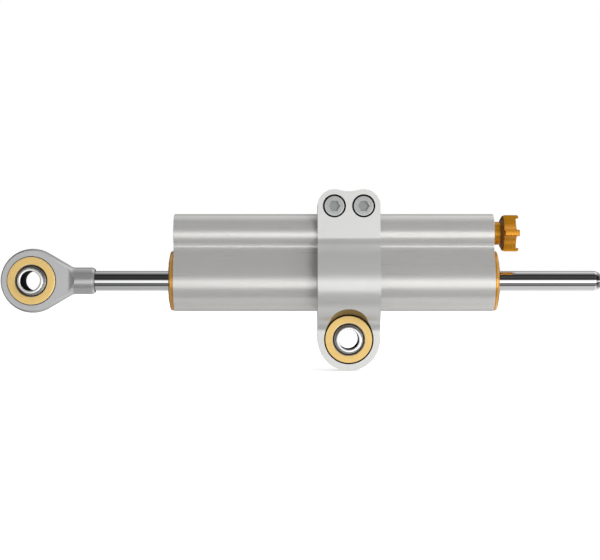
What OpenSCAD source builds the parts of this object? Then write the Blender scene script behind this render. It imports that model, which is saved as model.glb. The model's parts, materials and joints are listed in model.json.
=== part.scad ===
// Motorcycle steering damper: a double-tube body with a through rod, a rod end, a clamp and a knob.
// Millimetres. X runs along the rod towards the knob, Z is up, and the origin is the centre of
// the clamp's spherical bearing.

/* [Double tube] */
// Length of the extruded double tube
body_len = 130; // [122:1:170]
// Outer radius of the main tube
tube_r = 12.35; // [12.1:0.05:13.2]
// Outer radius of the adjuster tube above it
upper_r = 7.8; // [7.3:0.1:8.2]
// Distance between the axes of the two tubes
tube_gap = 19.4; // [18.8:0.1:20.2]
// Angle above the horizontal at which the flanks leave the main tube
flank_angle = 35.3; // [32:0.1:38]
// Radius of the fillet in the groove between the two tubes
groove_fillet = 0.8; // [0.5:0.1:1.2]
// Radius of the main bore
main_bore_r = 10; // [9:0.1:10.4]
// Radius of the upper bore
upper_bore_r = 5.5; // [5.3:0.1:5.8]
// Diameter of the two oil ports that join the bores
port_d = 2.5; // [1.5:0.1:3]
// Height of the main tube's axis above the clamp's bearing
main_z = 23.75; // [23.3:0.05:25]
// Distance from the tube's left end to the clamp's centre
clamp_from_end = 71; // [40:1:90]

/* [Piston rod] */
// Radius of the piston rod
rod_r = 4; // [3:0.1:4.5]
// Rod length that shows between the left gland and the rod end
rod_show_left = 30.3; // [28:0.1:45]
// Rod length that shows beyond the right gland
rod_show_right = 41.6; // [38:0.2:60]
// Length of the rod's stud inside the rod end
stud_len = 11.7; // [8:0.1:12]
// Length of the chamfer on the rod's free end
rod_tip_len = 2; // [1:0.1:3]
// Depth of the chamfer on the rod's free end
rod_tip_depth = 1; // [0.5:0.1:1.5]
// Distance of the piston from the middle of its chamber at rest
piston_offset = 5.5; // [0:0.5:10]
// Length of the piston
piston_len = 14; // [10:0.5:16]
// Width of the piston ring
piston_ring_w = 6; // [3:0.5:8]
// Depth of the piston ring's groove
piston_ring_t = 1.5; // [1:0.1:2]
// Thickness of the clips beside the piston
clip_t = 1; // [0.8:0.1:1.2]

/* [Glands] */
// Thickness of the gland's flange outside the tube
flange_t = 2; // [1.5:0.1:4]
// Thickness of the flange at its rim, where its face slopes back
flange_rim_t = 1.3; // [0.6:0.1:1.6]
// Radius of the flange's flat face inside the slope
flange_face_r = 8.6; // [7:0.1:10]
// How far the flange's rim lies inside the tube's outline
flange_inset = 0.2; // [0.1:0.1:0.6]
// Length of the gland inside the tube
spigot_len = 22; // [20:1:26]
// Length of the slimmer nose that the oil ports open beside
nose_len = 5; // [4:0.5:6]
// Gap around the nose
nose_gap = 1.2; // [0.8:0.1:1.6]
// Length of the rod bush
bush_len = 9; // [6:0.5:10]
// Wall of the rod bush
bush_t = 1; // [0.8:0.1:1.5]
// Length of the rod seal
seal_len = 4; // [3:0.5:4.5]
// Radial thickness of the rod seal
seal_t = 2.5; // [2:0.1:2.8]
// Depth of the wiper in the gland's outer face
wiper_len = 3; // [2:0.1:3.5]
// Radial thickness of the wiper
wiper_t = 2; // [1.5:0.1:2.5]
// Thickness of the gland's own seal ring
gland_oring_d = 1.6; // [1.2:0.1:1.8]
// Diameter of the spanner holes in the gland's face
spanner_hole_d = 2.2; // [1.5:0.1:2.2]
// Number of spanner holes in each gland
spanner_holes = 4; // [2:1:6]

/* [Oil reserve in the upper tube] */
// Thickness of the plug in the left end
plug_t = 4; // [3.5:0.5:5]
// Thickness of the plug's clip
plug_clip_t = 1; // [0.8:0.1:1.2]
// Length of the gas space between plug and floating piston
gas_len = 4; // [3:0.5:5]
// Length of the floating piston
float_len = 5; // [4:0.5:6]
// Thickness of the seal rings in the upper bore
upper_oring_d = 1.2; // [1:0.1:1.5]
// Radius of the gas filling screw's thread
fill_screw_r = 1.5; // [1.2:0.1:2]

/* [Valve and adjuster] */
// Length of the valve seat
seat_len = 6; // [5:0.5:8]
// Radius of the seat's orifice
orifice_r = 1.2; // [1:0.1:1.4]
// Radius of the needle's stem
needle_r = 1.4; // [1.3:0.05:1.6]
// Radius at the needle's tip
needle_tip_r = 0.3; // [0.2:0.05:0.5]
// Length of the needle's cone
needle_cone_len = 3; // [2.5:0.1:4]
// Travel of the needle each way from rest
needle_travel = 1.2; // [0.8:0.1:1.3]
// Width across flats of the needle's hexagon
needle_af = 4.6; // [4:0.1:4.8]
// Length of the needle's hexagon
needle_hex_len = 2.1; // [1.5:0.1:2.5]
// Radius of the needle's thread
needle_thread_r = 1.5; // [1.2:0.1:1.6]
// Length of the needle's thread
needle_thread_len = 5.6; // [5:0.1:5.8]
// Length of the adjuster housing
housing_len = 16.7; // [16.5:0.1:18]
// Length of the spindle's journal in the housing
journal_len = 5.2; // [5:0.1:5.8]
// Radius of the spindle's journal
journal_r = 2.5; // [2.4:0.05:2.6]
// Radius of the spindle's collar
collar_r = 3.6; // [3.4:0.05:3.8]
// Length of the spindle's collar
collar_len = 3.4; // [3.2:0.1:4]
// Radius of the spindle's drive end in the knob
drive_r = 2.3; // [2.1:0.05:2.35]
// Distance of the drive flat from the spindle's axis
drive_flat = 1.7; // [1.5:0.05:2]
// Radius of the detent balls
detent_ball_r = 0.95; // [0.7:0.05:1]
// Number of detent clicks in one turn
clicks = 12; // [8:1:16]

/* [Knob] */
// Gap between the tube's end and the knob
knob_gap = 0.4; // [0.3:0.1:1]
// Length of the knob's hub
hub_len = 2.2; // [2:0.1:4]
// Radius of the knob's hub
hub_r = 4.67; // [4.3:0.01:5]
// Radius where the knob's back cone starts
cone_r = 5.2; // [5:0.1:5.6]
// Length of the steep part of the back cone
cone_len = 0.9; // [0.7:0.1:1.2]
// Length of the shallow part of the back cone
rim_len = 1; // [0.8:0.1:1.4]
// Radius of the knob at its four ridges
knob_r = 7.4; // [7:0.1:8]
// Length of the knob's ridges
ridge_len = 5.7; // [5:0.1:7]
// Width of a ridge
ridge_w = 1.8; // [1.4:0.1:2.4]
// Radius of the scallops between the ridges
scallop_r = 8.5; // [7.5:0.1:10]
// Radius of the recess in the knob's end, inside the ridges' tips
recess_r = 6.2; // [5.6:0.1:6.6]
// Depth of the recess in the knob's end
recess_depth = 1.1; // [0.6:0.1:1.6]
// Radius of the knob screw's thread
knob_screw_r = 1.5; // [1.2:0.1:1.5]
// Length of the knob screw under its head
knob_screw_len = 7; // [5:0.5:7]

/* [Rod end] */
// Radius of the rod end's eye
eye_r = 13.05; // [12.8:0.05:14]
// Half thickness of the eye
eye_half = 5; // [4.8:0.1:5.4]
// Half angle of the cone between eye and neck
cone_angle = 30.5; // [29:0.5:33]
// Radius of the neck
neck_r = 5.43; // [5.1:0.01:6]
// Distance from the eye's centre to the neck's end
neck_len = 25.4; // [24:0.1:30]
// Fillet between cone and neck
neck_fillet = 3; // [2:0.1:4]
// Length of the chamfer on the neck's end
neck_chamfer = 1; // [0.3:0.1:1.2]
// Depth of the chamfer on the neck's end
neck_chamfer_drop = 0.6; // [0.3:0.1:1]
// Distance from the eye's centre to the end of its flats
flat_len = 14.7; // [14:0.1:16]
// Radius of the cutter that leaves the flats' run-out
runout_r = 8.7; // [6:0.1:12]

/* [Spherical bearings] */
// Radius of the bore through the bearing sleeve
sleeve_bore_r = 4; // [3:0.1:4.3]
// Outer radius of the bearing sleeve
sleeve_r = 5.2; // [4.9:0.05:5.25]
// Length of the bearing sleeve
sleeve_len = 18; // [16:0.5:22]
// Radius of the ball
ball_r = 7.4; // [7.3:0.05:7.6]
// Length of the ball along its bore
ball_len = 9; // [8.5:0.1:9.2]
// Outer radius of the race
race_r = 9.3; // [9:0.05:9.4]
// Length of the race
race_len = 7.6; // [7:0.1:7.8]
// Outer radius of the bearing's retaining rings
ring_r = 9.7; // [9.6:0.05:9.8]
// Inner radius of the retaining rings
ring_bore_r = 6.55; // [6.5:0.05:7]
// How far the rod end's rings stand out of the eye
ring_proud = 0.8; // [0.6:0.1:1]
// How far the clamp's rings lie under the lug's face
ring_sunk = 0.25; // [0.1:0.05:0.6]

/* [Clamp] */
// Width of the clamp along the tubes
clamp_w = 25.3; // [25:0.1:27]
// Radius of the clamp's body around the main tube
bulge_r = 18.5; // [18:0.1:19.5]
// Half thickness of the ears
ear_half = 10.3; // [10.2:0.1:11]
// Fillet between the ears and the body
ear_fillet = 4; // [1.5:0.1:5]
// Half thickness of the lug around the bearing
lug_half = 6.85; // [6.6:0.05:7.4]
// Fillet between the body and the lug
lug_fillet = 7.5; // [6:0.5:9]
// Radius of the lobe around each clamp bolt
lobe_r = 6.75; // [6.45:0.05:6.85]
// Height of the bolts above the upper tube's axis
bolt_rise = 10.8; // [10.75:0.05:11.5]
// Radius of the shallow valley between the two ears' lobes
valley_r = 14.6; // [12:0.2:20]
// Width of the slit
slit_w = 2; // [1:0.1:3]
// Radius of the relief around the bearing at the lug's face
relief_r = 10; // [9.9:0.05:10.4]
// Slope of the relief's wall
relief_angle = 17; // [12:1:20]

/* [Clamp bolts] */
// Radius of the bolt's thread
bolt_r = 2.5; // [2:0.1:2.6]
// Length of the bolt under its head
bolt_len = 14; // [11:0.5:15]
// Radius of the bolt's head
bolt_head_r = 4.22; // [4:0.01:4.3]
// Height of the bolt's head
bolt_head_h = 5; // [4.5:0.1:5]
// Width across flats of the bolt's hexagon socket
socket_af = 4; // [3:0.1:4.5]
// Depth of the socket
socket_depth = 2.6; // [2:0.1:3]
// How far the head lies under the ear's face
head_sunk = 0.1; // [0.1:0.05:0.4]

/* [Hidden] */
$fn = 64;

// Clearances
fit = 0.03;
thread_fit = 0.02;
drive_fit = 0.05;
bolt_hole_fit = 0.2;
head_fit = 0.45;
clip_fit = 0.05;
screw_head_fit = 0.1;
cut = 1;
weld = 0.05;
lap = 0.01;

// Places along the tubes
body_x0 = -clamp_from_end;
body_x1 = body_x0 + body_len;
upper_z = main_z + tube_gap;
chamber_x0 = body_x0 + spigot_len;
chamber_x1 = body_x1 - spigot_len;
port_x0 = chamber_x0 - nose_len / 2;
port_x1 = chamber_x1 + nose_len / 2;
flange_r = tube_r - flange_inset;
gland_x0 = body_x0 - flange_t;
gland_x1 = body_x1 + flange_t;

// Piston and rod
piston_x = (chamber_x0 + chamber_x1) / 2 + piston_offset;
piston_r = main_bore_r - 0.1;
piston_ring_r = main_bore_r - fit;
clip_depth = 0.6;
clip_r = rod_r + 1.6;
clip_gap = 2 * rod_r - 1.6;
clip_step = (piston_len + clip_t) / 2 + clip_fit;
clip_slot = clip_t + 2 * clip_fit;
neck_end_x = gland_x0 - rod_show_left;
rod_x0 = neck_end_x - stud_len;
rod_x1 = gland_x1 + rod_show_right;
eye_x = neck_end_x - neck_len;
taper_turn = 24;

// Gland details
gland_oring_at = 5;
spanner_hole_depth = 1.2;
spanner_pitch_r = (rod_r + wiper_t + flange_r) / 2;
lip_gap = 0.02;
lip_share = 0.32;
seal_at = wiper_len + 1.5;

// Oil reserve, measured from the tube's left end
plug_clip_at = 0.7;
plug_clip_depth = 0.6;
plug_clip_gap = 2.4;
plug_x0 = body_x0 + plug_clip_at + plug_clip_t + clip_fit;
plug_x1 = plug_x0 + plug_t;
float_x0 = plug_x1 + gas_len;
float_x1 = float_x0 + float_len;
fill_head_r = fill_screw_r + 1;
fill_head_h = 1.2;
fill_screw_len = plug_t - 1.3;

// Valve and adjuster, measured from the tube's right end
housing_recess = 0.2;
housing_x1 = body_x1 - housing_recess;
housing_x0 = housing_x1 - housing_len;
hex_len = 2 * needle_travel + needle_hex_len + 0.1;
needle_hex_x0 = housing_x0 + needle_travel;
needle_hex_x1 = needle_hex_x0 + needle_hex_len;
journal_x0 = housing_x0 + hex_len + 0.2;
collar_x0 = journal_x0 + journal_len;
collar_x1 = collar_x0 + collar_len;
collar_gap = 0.1;
counterbore_r = collar_r + 0.05;
housing_clip_t = 0.8;
housing_clip_gap = 2;
housing_clip_x0 = collar_x1 + collar_gap;
housing_clip_r = counterbore_r + 0.4;
spindle_oring_d = 0.76;
spindle_oring_x = (journal_x0 + collar_x0) / 2 + 0.6;
detent_x = (collar_x0 + collar_x1) / 2;
detent_ball_z = counterbore_r - fit - detent_ball_r;
flute_r = 0.45;
spring_wire_r = 0.12;
spring_turns = 4;
spring_len = 2 * (detent_ball_z - detent_ball_r - spring_wire_r);
spring_r = detent_ball_r - spring_wire_r - 0.12;
spring_steps = 12 * spring_turns;
spring_sides = 6;
seat_from_port = 6;
seat_x1 = port_x1 - port_d / 2 - seat_from_port;
seat_x0 = seat_x1 - seat_len;
needle_slope = (needle_r - needle_tip_r) / needle_cone_len;
needle_rest_r = orifice_r - fit - needle_travel * needle_slope;
needle_tip_x = seat_x1 - (needle_rest_r - needle_tip_r) / needle_slope;
needle_thread_x1 = needle_hex_x1 + needle_thread_len;
needle_hole_x1 = min(needle_thread_x1 + needle_travel + 0.2, detent_x - detent_ball_r - 0.2);

// Knob
knob_x0 = body_x1 + knob_gap;
cone_x0 = knob_x0 + hub_len;
rim_x0 = cone_x0 + cone_len;
ridge_x0 = rim_x0 + rim_len;
knob_x1 = ridge_x0 + ridge_len;
rim_r = knob_r - 0.45;
scallop_x0 = rim_x0 + 0.45;
recess_x = knob_x1 - recess_depth;
knob_head_r = knob_screw_r + 1.1;
knob_head_h = 1.1;
knob_head_x1 = recess_x - 0.1;
spindle_x1 = knob_head_x1 - knob_head_h - 0.9;
// Scallop centre on the diagonal, so that a ridge is ridge_w wide at its tip
ridge_tip = sqrt(knob_r * knob_r - ridge_w * ridge_w / 4);
scallop_b = ridge_tip + ridge_w / 2;
scallop_c = knob_r * knob_r - scallop_r * scallop_r;
scallop_at = (scallop_b + sqrt(scallop_b * scallop_b - 2 * scallop_c)) / 2;

// Clamp
lug_r = clamp_w / 2;
bolt_pitch = clamp_w - 2 * lobe_r;
bolt_z = upper_z + bolt_rise;
clamp_top = bolt_z + lobe_r;
valley_z = bolt_z + sqrt(pow(lobe_r + valley_r, 2) - pow(bolt_pitch / 2, 2));
clamp_deep = bulge_r + cut;
seat_y = -ear_half + head_sunk + bolt_head_h;

// Frames: draw a shape of revolution or an outline along X, or along Y
module turn_x(x, z) {
    translate([x, 0, z])
        rotate([0, 90, 0])
            children();
}

module along_x(x0, x1) {
    translate([x0, 0, 0])
        rotate([90, 0, 90])
            linear_extrude(x1 - x0)
                children();
}

module rod_x(x0, x1, r, z) {
    turn_x(x0, z)
        cylinder(r = r, h = x1 - x0);
}

module tube_x(x0, x1, r_out, r_in, z) {
    difference() {
        rod_x(x0, x1, r_out, z);
        rod_x(x0 - cut, x1 + cut, r_in, z);
    }
}

module hex_x(x0, x1, af, z) {
    turn_x(x0, z)
        cylinder(r = af / sqrt(3), h = x1 - x0, $fn = 6);
}

module rod_y(y0, y1, r) {
    translate([0, y0, 0])
        rotate([-90, 0, 0])
            cylinder(r = r, h = y1 - y0);
}

module oring(x, z, r_mid, d) {
    turn_x(x, z)
        rotate_extrude()
            translate([r_mid, 0])
                circle(d = d, $fn = 24);
}

// Groove in a round plug that holds a seal ring against the bore around it
module oring_groove(x, z, bore_r, d) {
    w = d + 0.3;
    tube_x(x - w / 2, x + w / 2, bore_r + cut, bore_r - d - 2 * fit, z);
}

// Seal ring in that groove
module bore_oring(x, z, bore_r, d) {
    color("#202020")
        oring(x, z, bore_r - fit - d / 2, d);
}

// Fills the corner between two outlines that a round of radius r at c touches at a and b
module fillet_2d(a, corner, b, c, r) {
    difference() {
        polygon([a, corner, b, c]);
        translate(c)
            circle(r = r);
    }
}

// Section of the double tube, or of a bore that clears it by grow
module body_outline(grow) {
    r1 = tube_r + grow;
    r2 = upper_r + grow;
    f = groove_fillet - grow;
    n = [cos(flank_angle), sin(flank_angle)];
    u = [sin(flank_angle), -cos(flank_angle)];
    top = [0, tube_gap];
    q = r1 - tube_gap * sin(flank_angle);
    centre = top + (q + f) * n + sqrt(pow(r2 + f, 2) - pow(q + f, 2)) * u;
    on_top = top + r2 * (centre - top) / (r2 + f);
    circle(r = r1, $fn = 128);
    translate(top)
        circle(r = r2, $fn = 96);
    right = [r1 * n, centre - f * n, centre, on_top];
    difference() {
        polygon(concat(right, [for (i = [3:-1:0]) [-right[i][0], right[i][1]]]));
        for (s = [-1, 1])
            translate([s * centre[0], centre[1]])
                circle(r = f, $fn = 48);
    }
}

module damper_body() {
    color("#c4c4c2")
        difference() {
            translate([0, 0, main_z])
                along_x(body_x0, body_x1)
                    body_outline(0);
            rod_x(body_x0 - cut, body_x1 + cut, main_bore_r, main_z);
            rod_x(body_x0 - cut, body_x1 + cut, upper_bore_r, upper_z);
            for (x = [port_x0, port_x1])
                translate([x, 0, main_z])
                    cylinder(d = port_d, h = tube_gap, $fn = 32);
            rod_x(body_x0 + plug_clip_at, plug_x0, upper_bore_r + plug_clip_depth + fit, upper_z);
        }
}

// A gland drawn at the left end of the tube; the right one is its mirror image
module gland() {
    x_in = body_x0 + spigot_len;
    x_seal = gland_x0 + seal_at;
    color("#c08a2c")
        difference() {
            union() {
                turn_x(gland_x0, main_z)
                    cylinder(h = flange_t - flange_rim_t, r1 = flange_face_r, r2 = flange_r);
                rod_x(body_x0 - flange_rim_t, body_x0, flange_r, main_z);
                rod_x(body_x0, x_in - nose_len, main_bore_r - fit, main_z);
                rod_x(x_in - nose_len, x_in, main_bore_r - nose_gap, main_z);
            }
            rod_x(gland_x0 - cut, x_in + cut, rod_r + 0.15, main_z);
            rod_x(gland_x0 - cut, gland_x0 + wiper_len, rod_r + wiper_t, main_z);
            rod_x(x_seal, x_seal + seal_len, rod_r + seal_t, main_z);
            rod_x(x_in - bush_len, x_in + cut, rod_r + bush_t + lip_gap, main_z);
            oring_groove(body_x0 + gland_oring_at, main_z, main_bore_r, gland_oring_d);
            for (i = [0:spanner_holes - 1])
                turn_x(gland_x0 - cut, main_z)
                    rotate([0, 0, (i + 0.5) * 360 / spanner_holes])
                        translate([spanner_pitch_r, 0, 0])
                            cylinder(d = spanner_hole_d, h = spanner_hole_depth + cut, $fn = 24);
        }
}

// Puts a gland or one of its pieces at the right end of the tube
module at_right() {
    translate([body_x0 + body_x1, 0, 0])
        mirror([1, 0, 0])
            children();
}

module gland_left() {
    gland();
}

module gland_right() {
    at_right()
        gland();
}

module gland_oring() {
    bore_oring(body_x0 + gland_oring_at, main_z, main_bore_r, gland_oring_d);
}

module gland_oring_left() {
    gland_oring();
}

module gland_oring_right() {
    at_right()
        gland_oring();
}

module rod_bush() {
    x_in = body_x0 + spigot_len;
    color("#8a6a3c")
        tube_x(x_in - bush_len, x_in - 0.3, rod_r + bush_t, rod_r + fit, main_z);
}

module rod_bush_left() {
    rod_bush();
}

module rod_bush_right() {
    at_right()
        rod_bush();
}

module rod_seal() {
    x = gland_x0 + seal_at;
    lip = seal_len / 2;
    lip_t = seal_t * lip_share;
    color("#2c5c8c")
        difference() {
            tube_x(x + 0.1, x + seal_len - 0.1, rod_r + seal_t - lip_gap, rod_r + lip_gap, main_z);
            tube_x(x + lip, x + seal_len + cut, rod_r + seal_t - lip_t, rod_r + lip_t, main_z);
        }
}

module rod_seal_left() {
    rod_seal();
}

module rod_seal_right() {
    at_right()
        rod_seal();
}

// Wiper with a sharp lip that faces outwards
module rod_wiper() {
    x0 = gland_x0 + 0.3;
    x1 = gland_x0 + wiper_len - 0.1;
    color("#202020")
        turn_x(x0, main_z)
            rotate_extrude()
                polygon([
                    [rod_r + lip_gap, 0],
                    [rod_r + wiper_t * 0.4, 0.3],
                    [rod_r + wiper_t * 0.5, 1],
                    [rod_r + wiper_t - lip_gap, 1],
                    [rod_r + wiper_t - lip_gap, x1 - x0],
                    [rod_r + 0.2, x1 - x0],
                    [rod_r + 0.2, 0.8]
                ]);
}

module rod_wiper_left() {
    rod_wiper();
}

module rod_wiper_right() {
    at_right()
        rod_wiper();
}

module reservoir_plug() {
    head_x = plug_x0 + fill_head_h;
    color("#9a9a98")
        difference() {
            rod_x(plug_x0, plug_x1, upper_bore_r - fit, upper_z);
            oring_groove((plug_x0 + plug_x1) / 2, upper_z, upper_bore_r, upper_oring_d);
            rod_x(plug_x0 - cut, plug_x1 + cut, fill_screw_r + thread_fit, upper_z);
            rod_x(plug_x0 - cut, head_x, fill_head_r + screw_head_fit, upper_z);
        }
}

module plug_oring() {
    bore_oring((plug_x0 + plug_x1) / 2, upper_z, upper_bore_r, upper_oring_d);
}

// Open spring clip: a flat ring with a gap
module clip(x, t, r_out, r_in, z, gap) {
    color("#505458")
        difference() {
            tube_x(x, x + t, r_out, r_in, z);
            translate([x - cut, -gap / 2, z - r_out - cut])
                cube([t + 2 * cut, gap, r_out + cut]);
        }
}

module plug_clip() {
    clip(body_x0 + plug_clip_at, plug_clip_t, upper_bore_r + plug_clip_depth,
         upper_bore_r - 1.1, upper_z, plug_clip_gap);
}

module fill_screw() {
    color("#505458")
        difference() {
            union() {
                rod_x(plug_x0 + 0.1, plug_x0 + fill_head_h, fill_head_r, upper_z);
                rod_x(plug_x0 + fill_head_h, plug_x0 + fill_head_h + fill_screw_len,
                      fill_screw_r, upper_z);
            }
            hex_x(plug_x0 - cut, plug_x0 + fill_head_h, fill_screw_r, upper_z);
        }
}

module floating_piston() {
    color("#b0b0ae")
        difference() {
            rod_x(float_x0, float_x1, upper_bore_r - 2 * fit, upper_z);
            oring_groove((float_x0 + float_x1) / 2, upper_z, upper_bore_r, upper_oring_d);
            rod_x(float_x0 - cut, float_x0 + float_len * 0.3, upper_bore_r * 0.5, upper_z);
        }
}

module floating_piston_oring() {
    bore_oring((float_x0 + float_x1) / 2, upper_z, upper_bore_r, upper_oring_d);
}

module valve_seat() {
    color("#b08d57")
        difference() {
            rod_x(seat_x0, seat_x1, upper_bore_r - fit, upper_z);
            rod_x(seat_x0 - cut, seat_x1 + cut, orifice_r, upper_z);
            rod_x(seat_x0 - cut, seat_x0 + seat_len / 3, orifice_r * 2.2, upper_z);
            oring_groove((seat_x0 + seat_x1) / 2, upper_z, upper_bore_r, upper_oring_d);
        }
}

module valve_seat_oring() {
    bore_oring((seat_x0 + seat_x1) / 2, upper_z, upper_bore_r, upper_oring_d);
}

module adjuster_housing() {
    color("#9a9a98")
        difference() {
            rod_x(housing_x0, housing_x1, upper_bore_r - fit, upper_z);
            hex_x(housing_x0 - cut, housing_x0 + hex_len, needle_af + 2 * drive_fit, upper_z);
            rod_x(housing_x0 + hex_len - lap, collar_x0, journal_r + fit, upper_z);
            rod_x(collar_x0 - collar_gap, housing_x1 + cut, counterbore_r, upper_z);
            oring_groove(housing_x0 + hex_len / 2, upper_z, upper_bore_r, upper_oring_d);
            tube_x(spindle_oring_x - 0.5, spindle_oring_x + 0.5,
                   journal_r + spindle_oring_d + 2 * lip_gap, journal_r / 2, upper_z);
            rod_x(housing_clip_x0 - clip_fit, housing_clip_x0 + housing_clip_t + clip_fit,
                  housing_clip_r + fit, upper_z);
            turn_x(collar_x0, upper_z)
                for (i = [0:clicks - 1])
                    rotate([0, 0, i * 360 / clicks])
                        translate([counterbore_r, 0, 0])
                            cylinder(r = flute_r, h = housing_x1 + cut - collar_x0, $fn = 16);
        }
}

module housing_oring() {
    bore_oring(housing_x0 + hex_len / 2, upper_z, upper_bore_r, upper_oring_d);
}

module housing_clip() {
    clip(housing_clip_x0, housing_clip_t, housing_clip_r, drive_r + 0.4, upper_z, housing_clip_gap);
}

module spindle_oring() {
    color("#202020")
        oring(spindle_oring_x, upper_z, journal_r + lip_gap + spindle_oring_d / 2, spindle_oring_d);
}

// Drive end of the spindle, also cut from the knob with a clearance
module drive_end(x0, x1, grow) {
    difference() {
        rod_x(x0, x1, drive_r + grow, upper_z);
        translate([x0 - cut, drive_flat + grow, upper_z - drive_r - cut])
            cube([x1 - x0 + 2 * cut, drive_r, 2 * (drive_r + cut)]);
    }
}

module adjuster_spindle() {
    color("#8c8f92")
        difference() {
            union() {
                rod_x(journal_x0, collar_x0 + lap, journal_r, upper_z);
                rod_x(collar_x0, collar_x1, collar_r, upper_z);
                rod_x(collar_x1 - lap, knob_x0, drive_r, upper_z);
                drive_end(knob_x0 - lap, spindle_x1, 0);
            }
            rod_x(journal_x0 - cut, needle_hole_x1, needle_thread_r + thread_fit, upper_z);
            translate([detent_x, 0, upper_z - collar_r - cut])
                cylinder(r = detent_ball_r + fit, h = 2 * (collar_r + cut), $fn = 32);
            rod_x(spindle_x1 - knob_screw_len, spindle_x1 + cut, knob_screw_r + thread_fit, upper_z);
        }
}

module detent_balls() {
    color("#d8d8d8")
        for (s = [-1, 1])
            translate([detent_x, 0, upper_z + s * detent_ball_z])
                sphere(r = detent_ball_r, $fn = 32);
}

// Point k of ring i on a coil spring swept along a helix
function spring_point(i, k) =
    let (a = 360 * i * spring_turns / spring_steps,
         b = 360 * k / spring_sides,
         r = spring_r + spring_wire_r * cos(b))
    [r * cos(a), r * sin(a), spring_len * (i / spring_steps - 0.5) + spring_wire_r * sin(b)];

// Coil spring between the two balls
module detent_spring() {
    points = [for (i = [0:spring_steps]) for (k = [0:spring_sides - 1]) spring_point(i, k)];
    sides = [
        for (i = [0:spring_steps - 1])
            for (k = [0:spring_sides - 1])
                let (j = (k + 1) % spring_sides,
                     a = i * spring_sides,
                     b = a + spring_sides)
                each [[a + k, b + k, b + j], [a + k, b + j, a + j]]
    ];
    last = spring_steps * spring_sides;
    ends = [
        for (k = [1:spring_sides - 2])
            each [[0, k, k + 1], [last, last + k + 1, last + k]]
    ];
    color("#b8b8b8")
        translate([detent_x, 0, upper_z])
            polyhedron(points, concat(sides, ends));
}

// Scallops between the ridges, cut a little into the back cone too
module knob_scallops() {
    turn_x(scallop_x0, upper_z)
        for (a = [45:90:315])
            rotate(a)
                translate([scallop_at * sqrt(2), 0, 0])
                    cylinder(r = scallop_r, h = knob_x1 - scallop_x0 + cut);
}

module adjuster_knob() {
    color("#c8872a")
        difference() {
            union() {
                rod_x(knob_x0, cone_x0, hub_r, upper_z);
                turn_x(cone_x0, upper_z)
                    cylinder(r1 = cone_r, r2 = rim_r, h = cone_len);
                turn_x(rim_x0, upper_z)
                    cylinder(r1 = rim_r, r2 = knob_r, h = rim_len);
                rod_x(ridge_x0, knob_x1, knob_r, upper_z);
            }
            knob_scallops();
            rod_x(recess_x, knob_x1 + cut, recess_r, upper_z);
            drive_end(knob_x0 - cut, spindle_x1 + 0.1, drive_fit);
            rod_x(spindle_x1, knob_x1, knob_screw_r + screw_head_fit, upper_z);
            turn_x(knob_head_x1 - knob_head_h, upper_z)
                cylinder(r1 = knob_screw_r + screw_head_fit, r2 = knob_head_r + screw_head_fit,
                         h = knob_head_h);
            rod_x(knob_head_x1 - lap, knob_x1, knob_head_r + screw_head_fit, upper_z);
        }
}

module knob_screw() {
    color("#505458")
        difference() {
            union() {
                turn_x(knob_head_x1 - knob_head_h, upper_z)
                    cylinder(r1 = knob_screw_r, r2 = knob_head_r, h = knob_head_h);
                rod_x(knob_head_x1 - knob_screw_len, knob_head_x1 - knob_head_h, knob_screw_r, upper_z);
            }
            hex_x(knob_head_x1 - 0.9, knob_head_x1 + cut, knob_screw_r * 1.3, upper_z);
        }
}

module metering_needle() {
    color("#d8d8d8")
        union() {
            turn_x(needle_tip_x, upper_z)
                cylinder(r1 = needle_tip_r, r2 = needle_r, h = needle_cone_len);
            rod_x(needle_tip_x + needle_cone_len, needle_hex_x0, needle_r, upper_z);
            hex_x(needle_hex_x0, needle_hex_x1, needle_af, upper_z);
            rod_x(needle_hex_x1, needle_thread_x1, needle_thread_r, upper_z);
        }
}

module piston_rod() {
    color("#e6e6e8")
        difference() {
            union() {
                rod_x(rod_x0, rod_x1 - rod_tip_len, rod_r, main_z);
                turn_x(rod_x1 - rod_tip_len, main_z)
                    cylinder(r1 = rod_r, r2 = rod_r - rod_tip_depth, h = rod_tip_len);
            }
            for (x = [piston_x - clip_step, piston_x + clip_step])
                tube_x(x - clip_slot / 2, x + clip_slot / 2, rod_r + cut, rod_r - clip_depth, main_z);
        }
}

module piston() {
    groove_half = piston_ring_w / 2 + 0.05;
    color("#a8aaac")
        difference() {
            tube_x(piston_x - piston_len / 2, piston_x + piston_len / 2, piston_r,
                   rod_r + thread_fit, main_z);
            tube_x(piston_x - groove_half, piston_x + groove_half, main_bore_r + cut,
                   main_bore_r - piston_ring_t - fit, main_z);
        }
}

module piston_clips() {
    for (x = [piston_x - clip_step, piston_x + clip_step])
        clip(x - clip_t / 2, clip_t, clip_r, rod_r - clip_depth + fit, main_z, clip_gap);
}

module piston_ring() {
    color("#6a5a44")
        tube_x(piston_x - piston_ring_w / 2, piston_x + piston_ring_w / 2, piston_ring_r,
               main_bore_r - piston_ring_t, main_z);
}

// Half section of the rod end's neck: radius across, distance from the eye's centre up
module neck_half() {
    n = [cos(cone_angle), sin(cone_angle)];
    corner_h = (eye_r - neck_r * n[0]) / n[1];
    centre_h = (eye_r + neck_fillet - (neck_r + neck_fillet) * n[0]) / n[1];
    centre = [neck_r + neck_fillet, centre_h];
    polygon([
        [0, 0],
        [neck_r, 0],
        [neck_r, neck_len - neck_chamfer],
        [neck_r - neck_chamfer_drop, neck_len],
        [0, neck_len]
    ]);
    fillet_2d(centre - neck_fillet * n, [neck_r - 0.3, corner_h], [neck_r, centre_h], centre,
              neck_fillet);
}

// The taper between eye and neck, seen from the front: X from the eye's centre, Z across
module taper_front() {
    n = [cos(cone_angle), sin(cone_angle)];
    r = eye_r - weld;
    corner_h = (r - neck_r * n[0]) / n[1];
    polygon([[0, 0], [r * n[1], r * n[0]], [corner_h, neck_r], [corner_h, -neck_r],
             [r * n[1], -r * n[0]]]);
}

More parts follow.
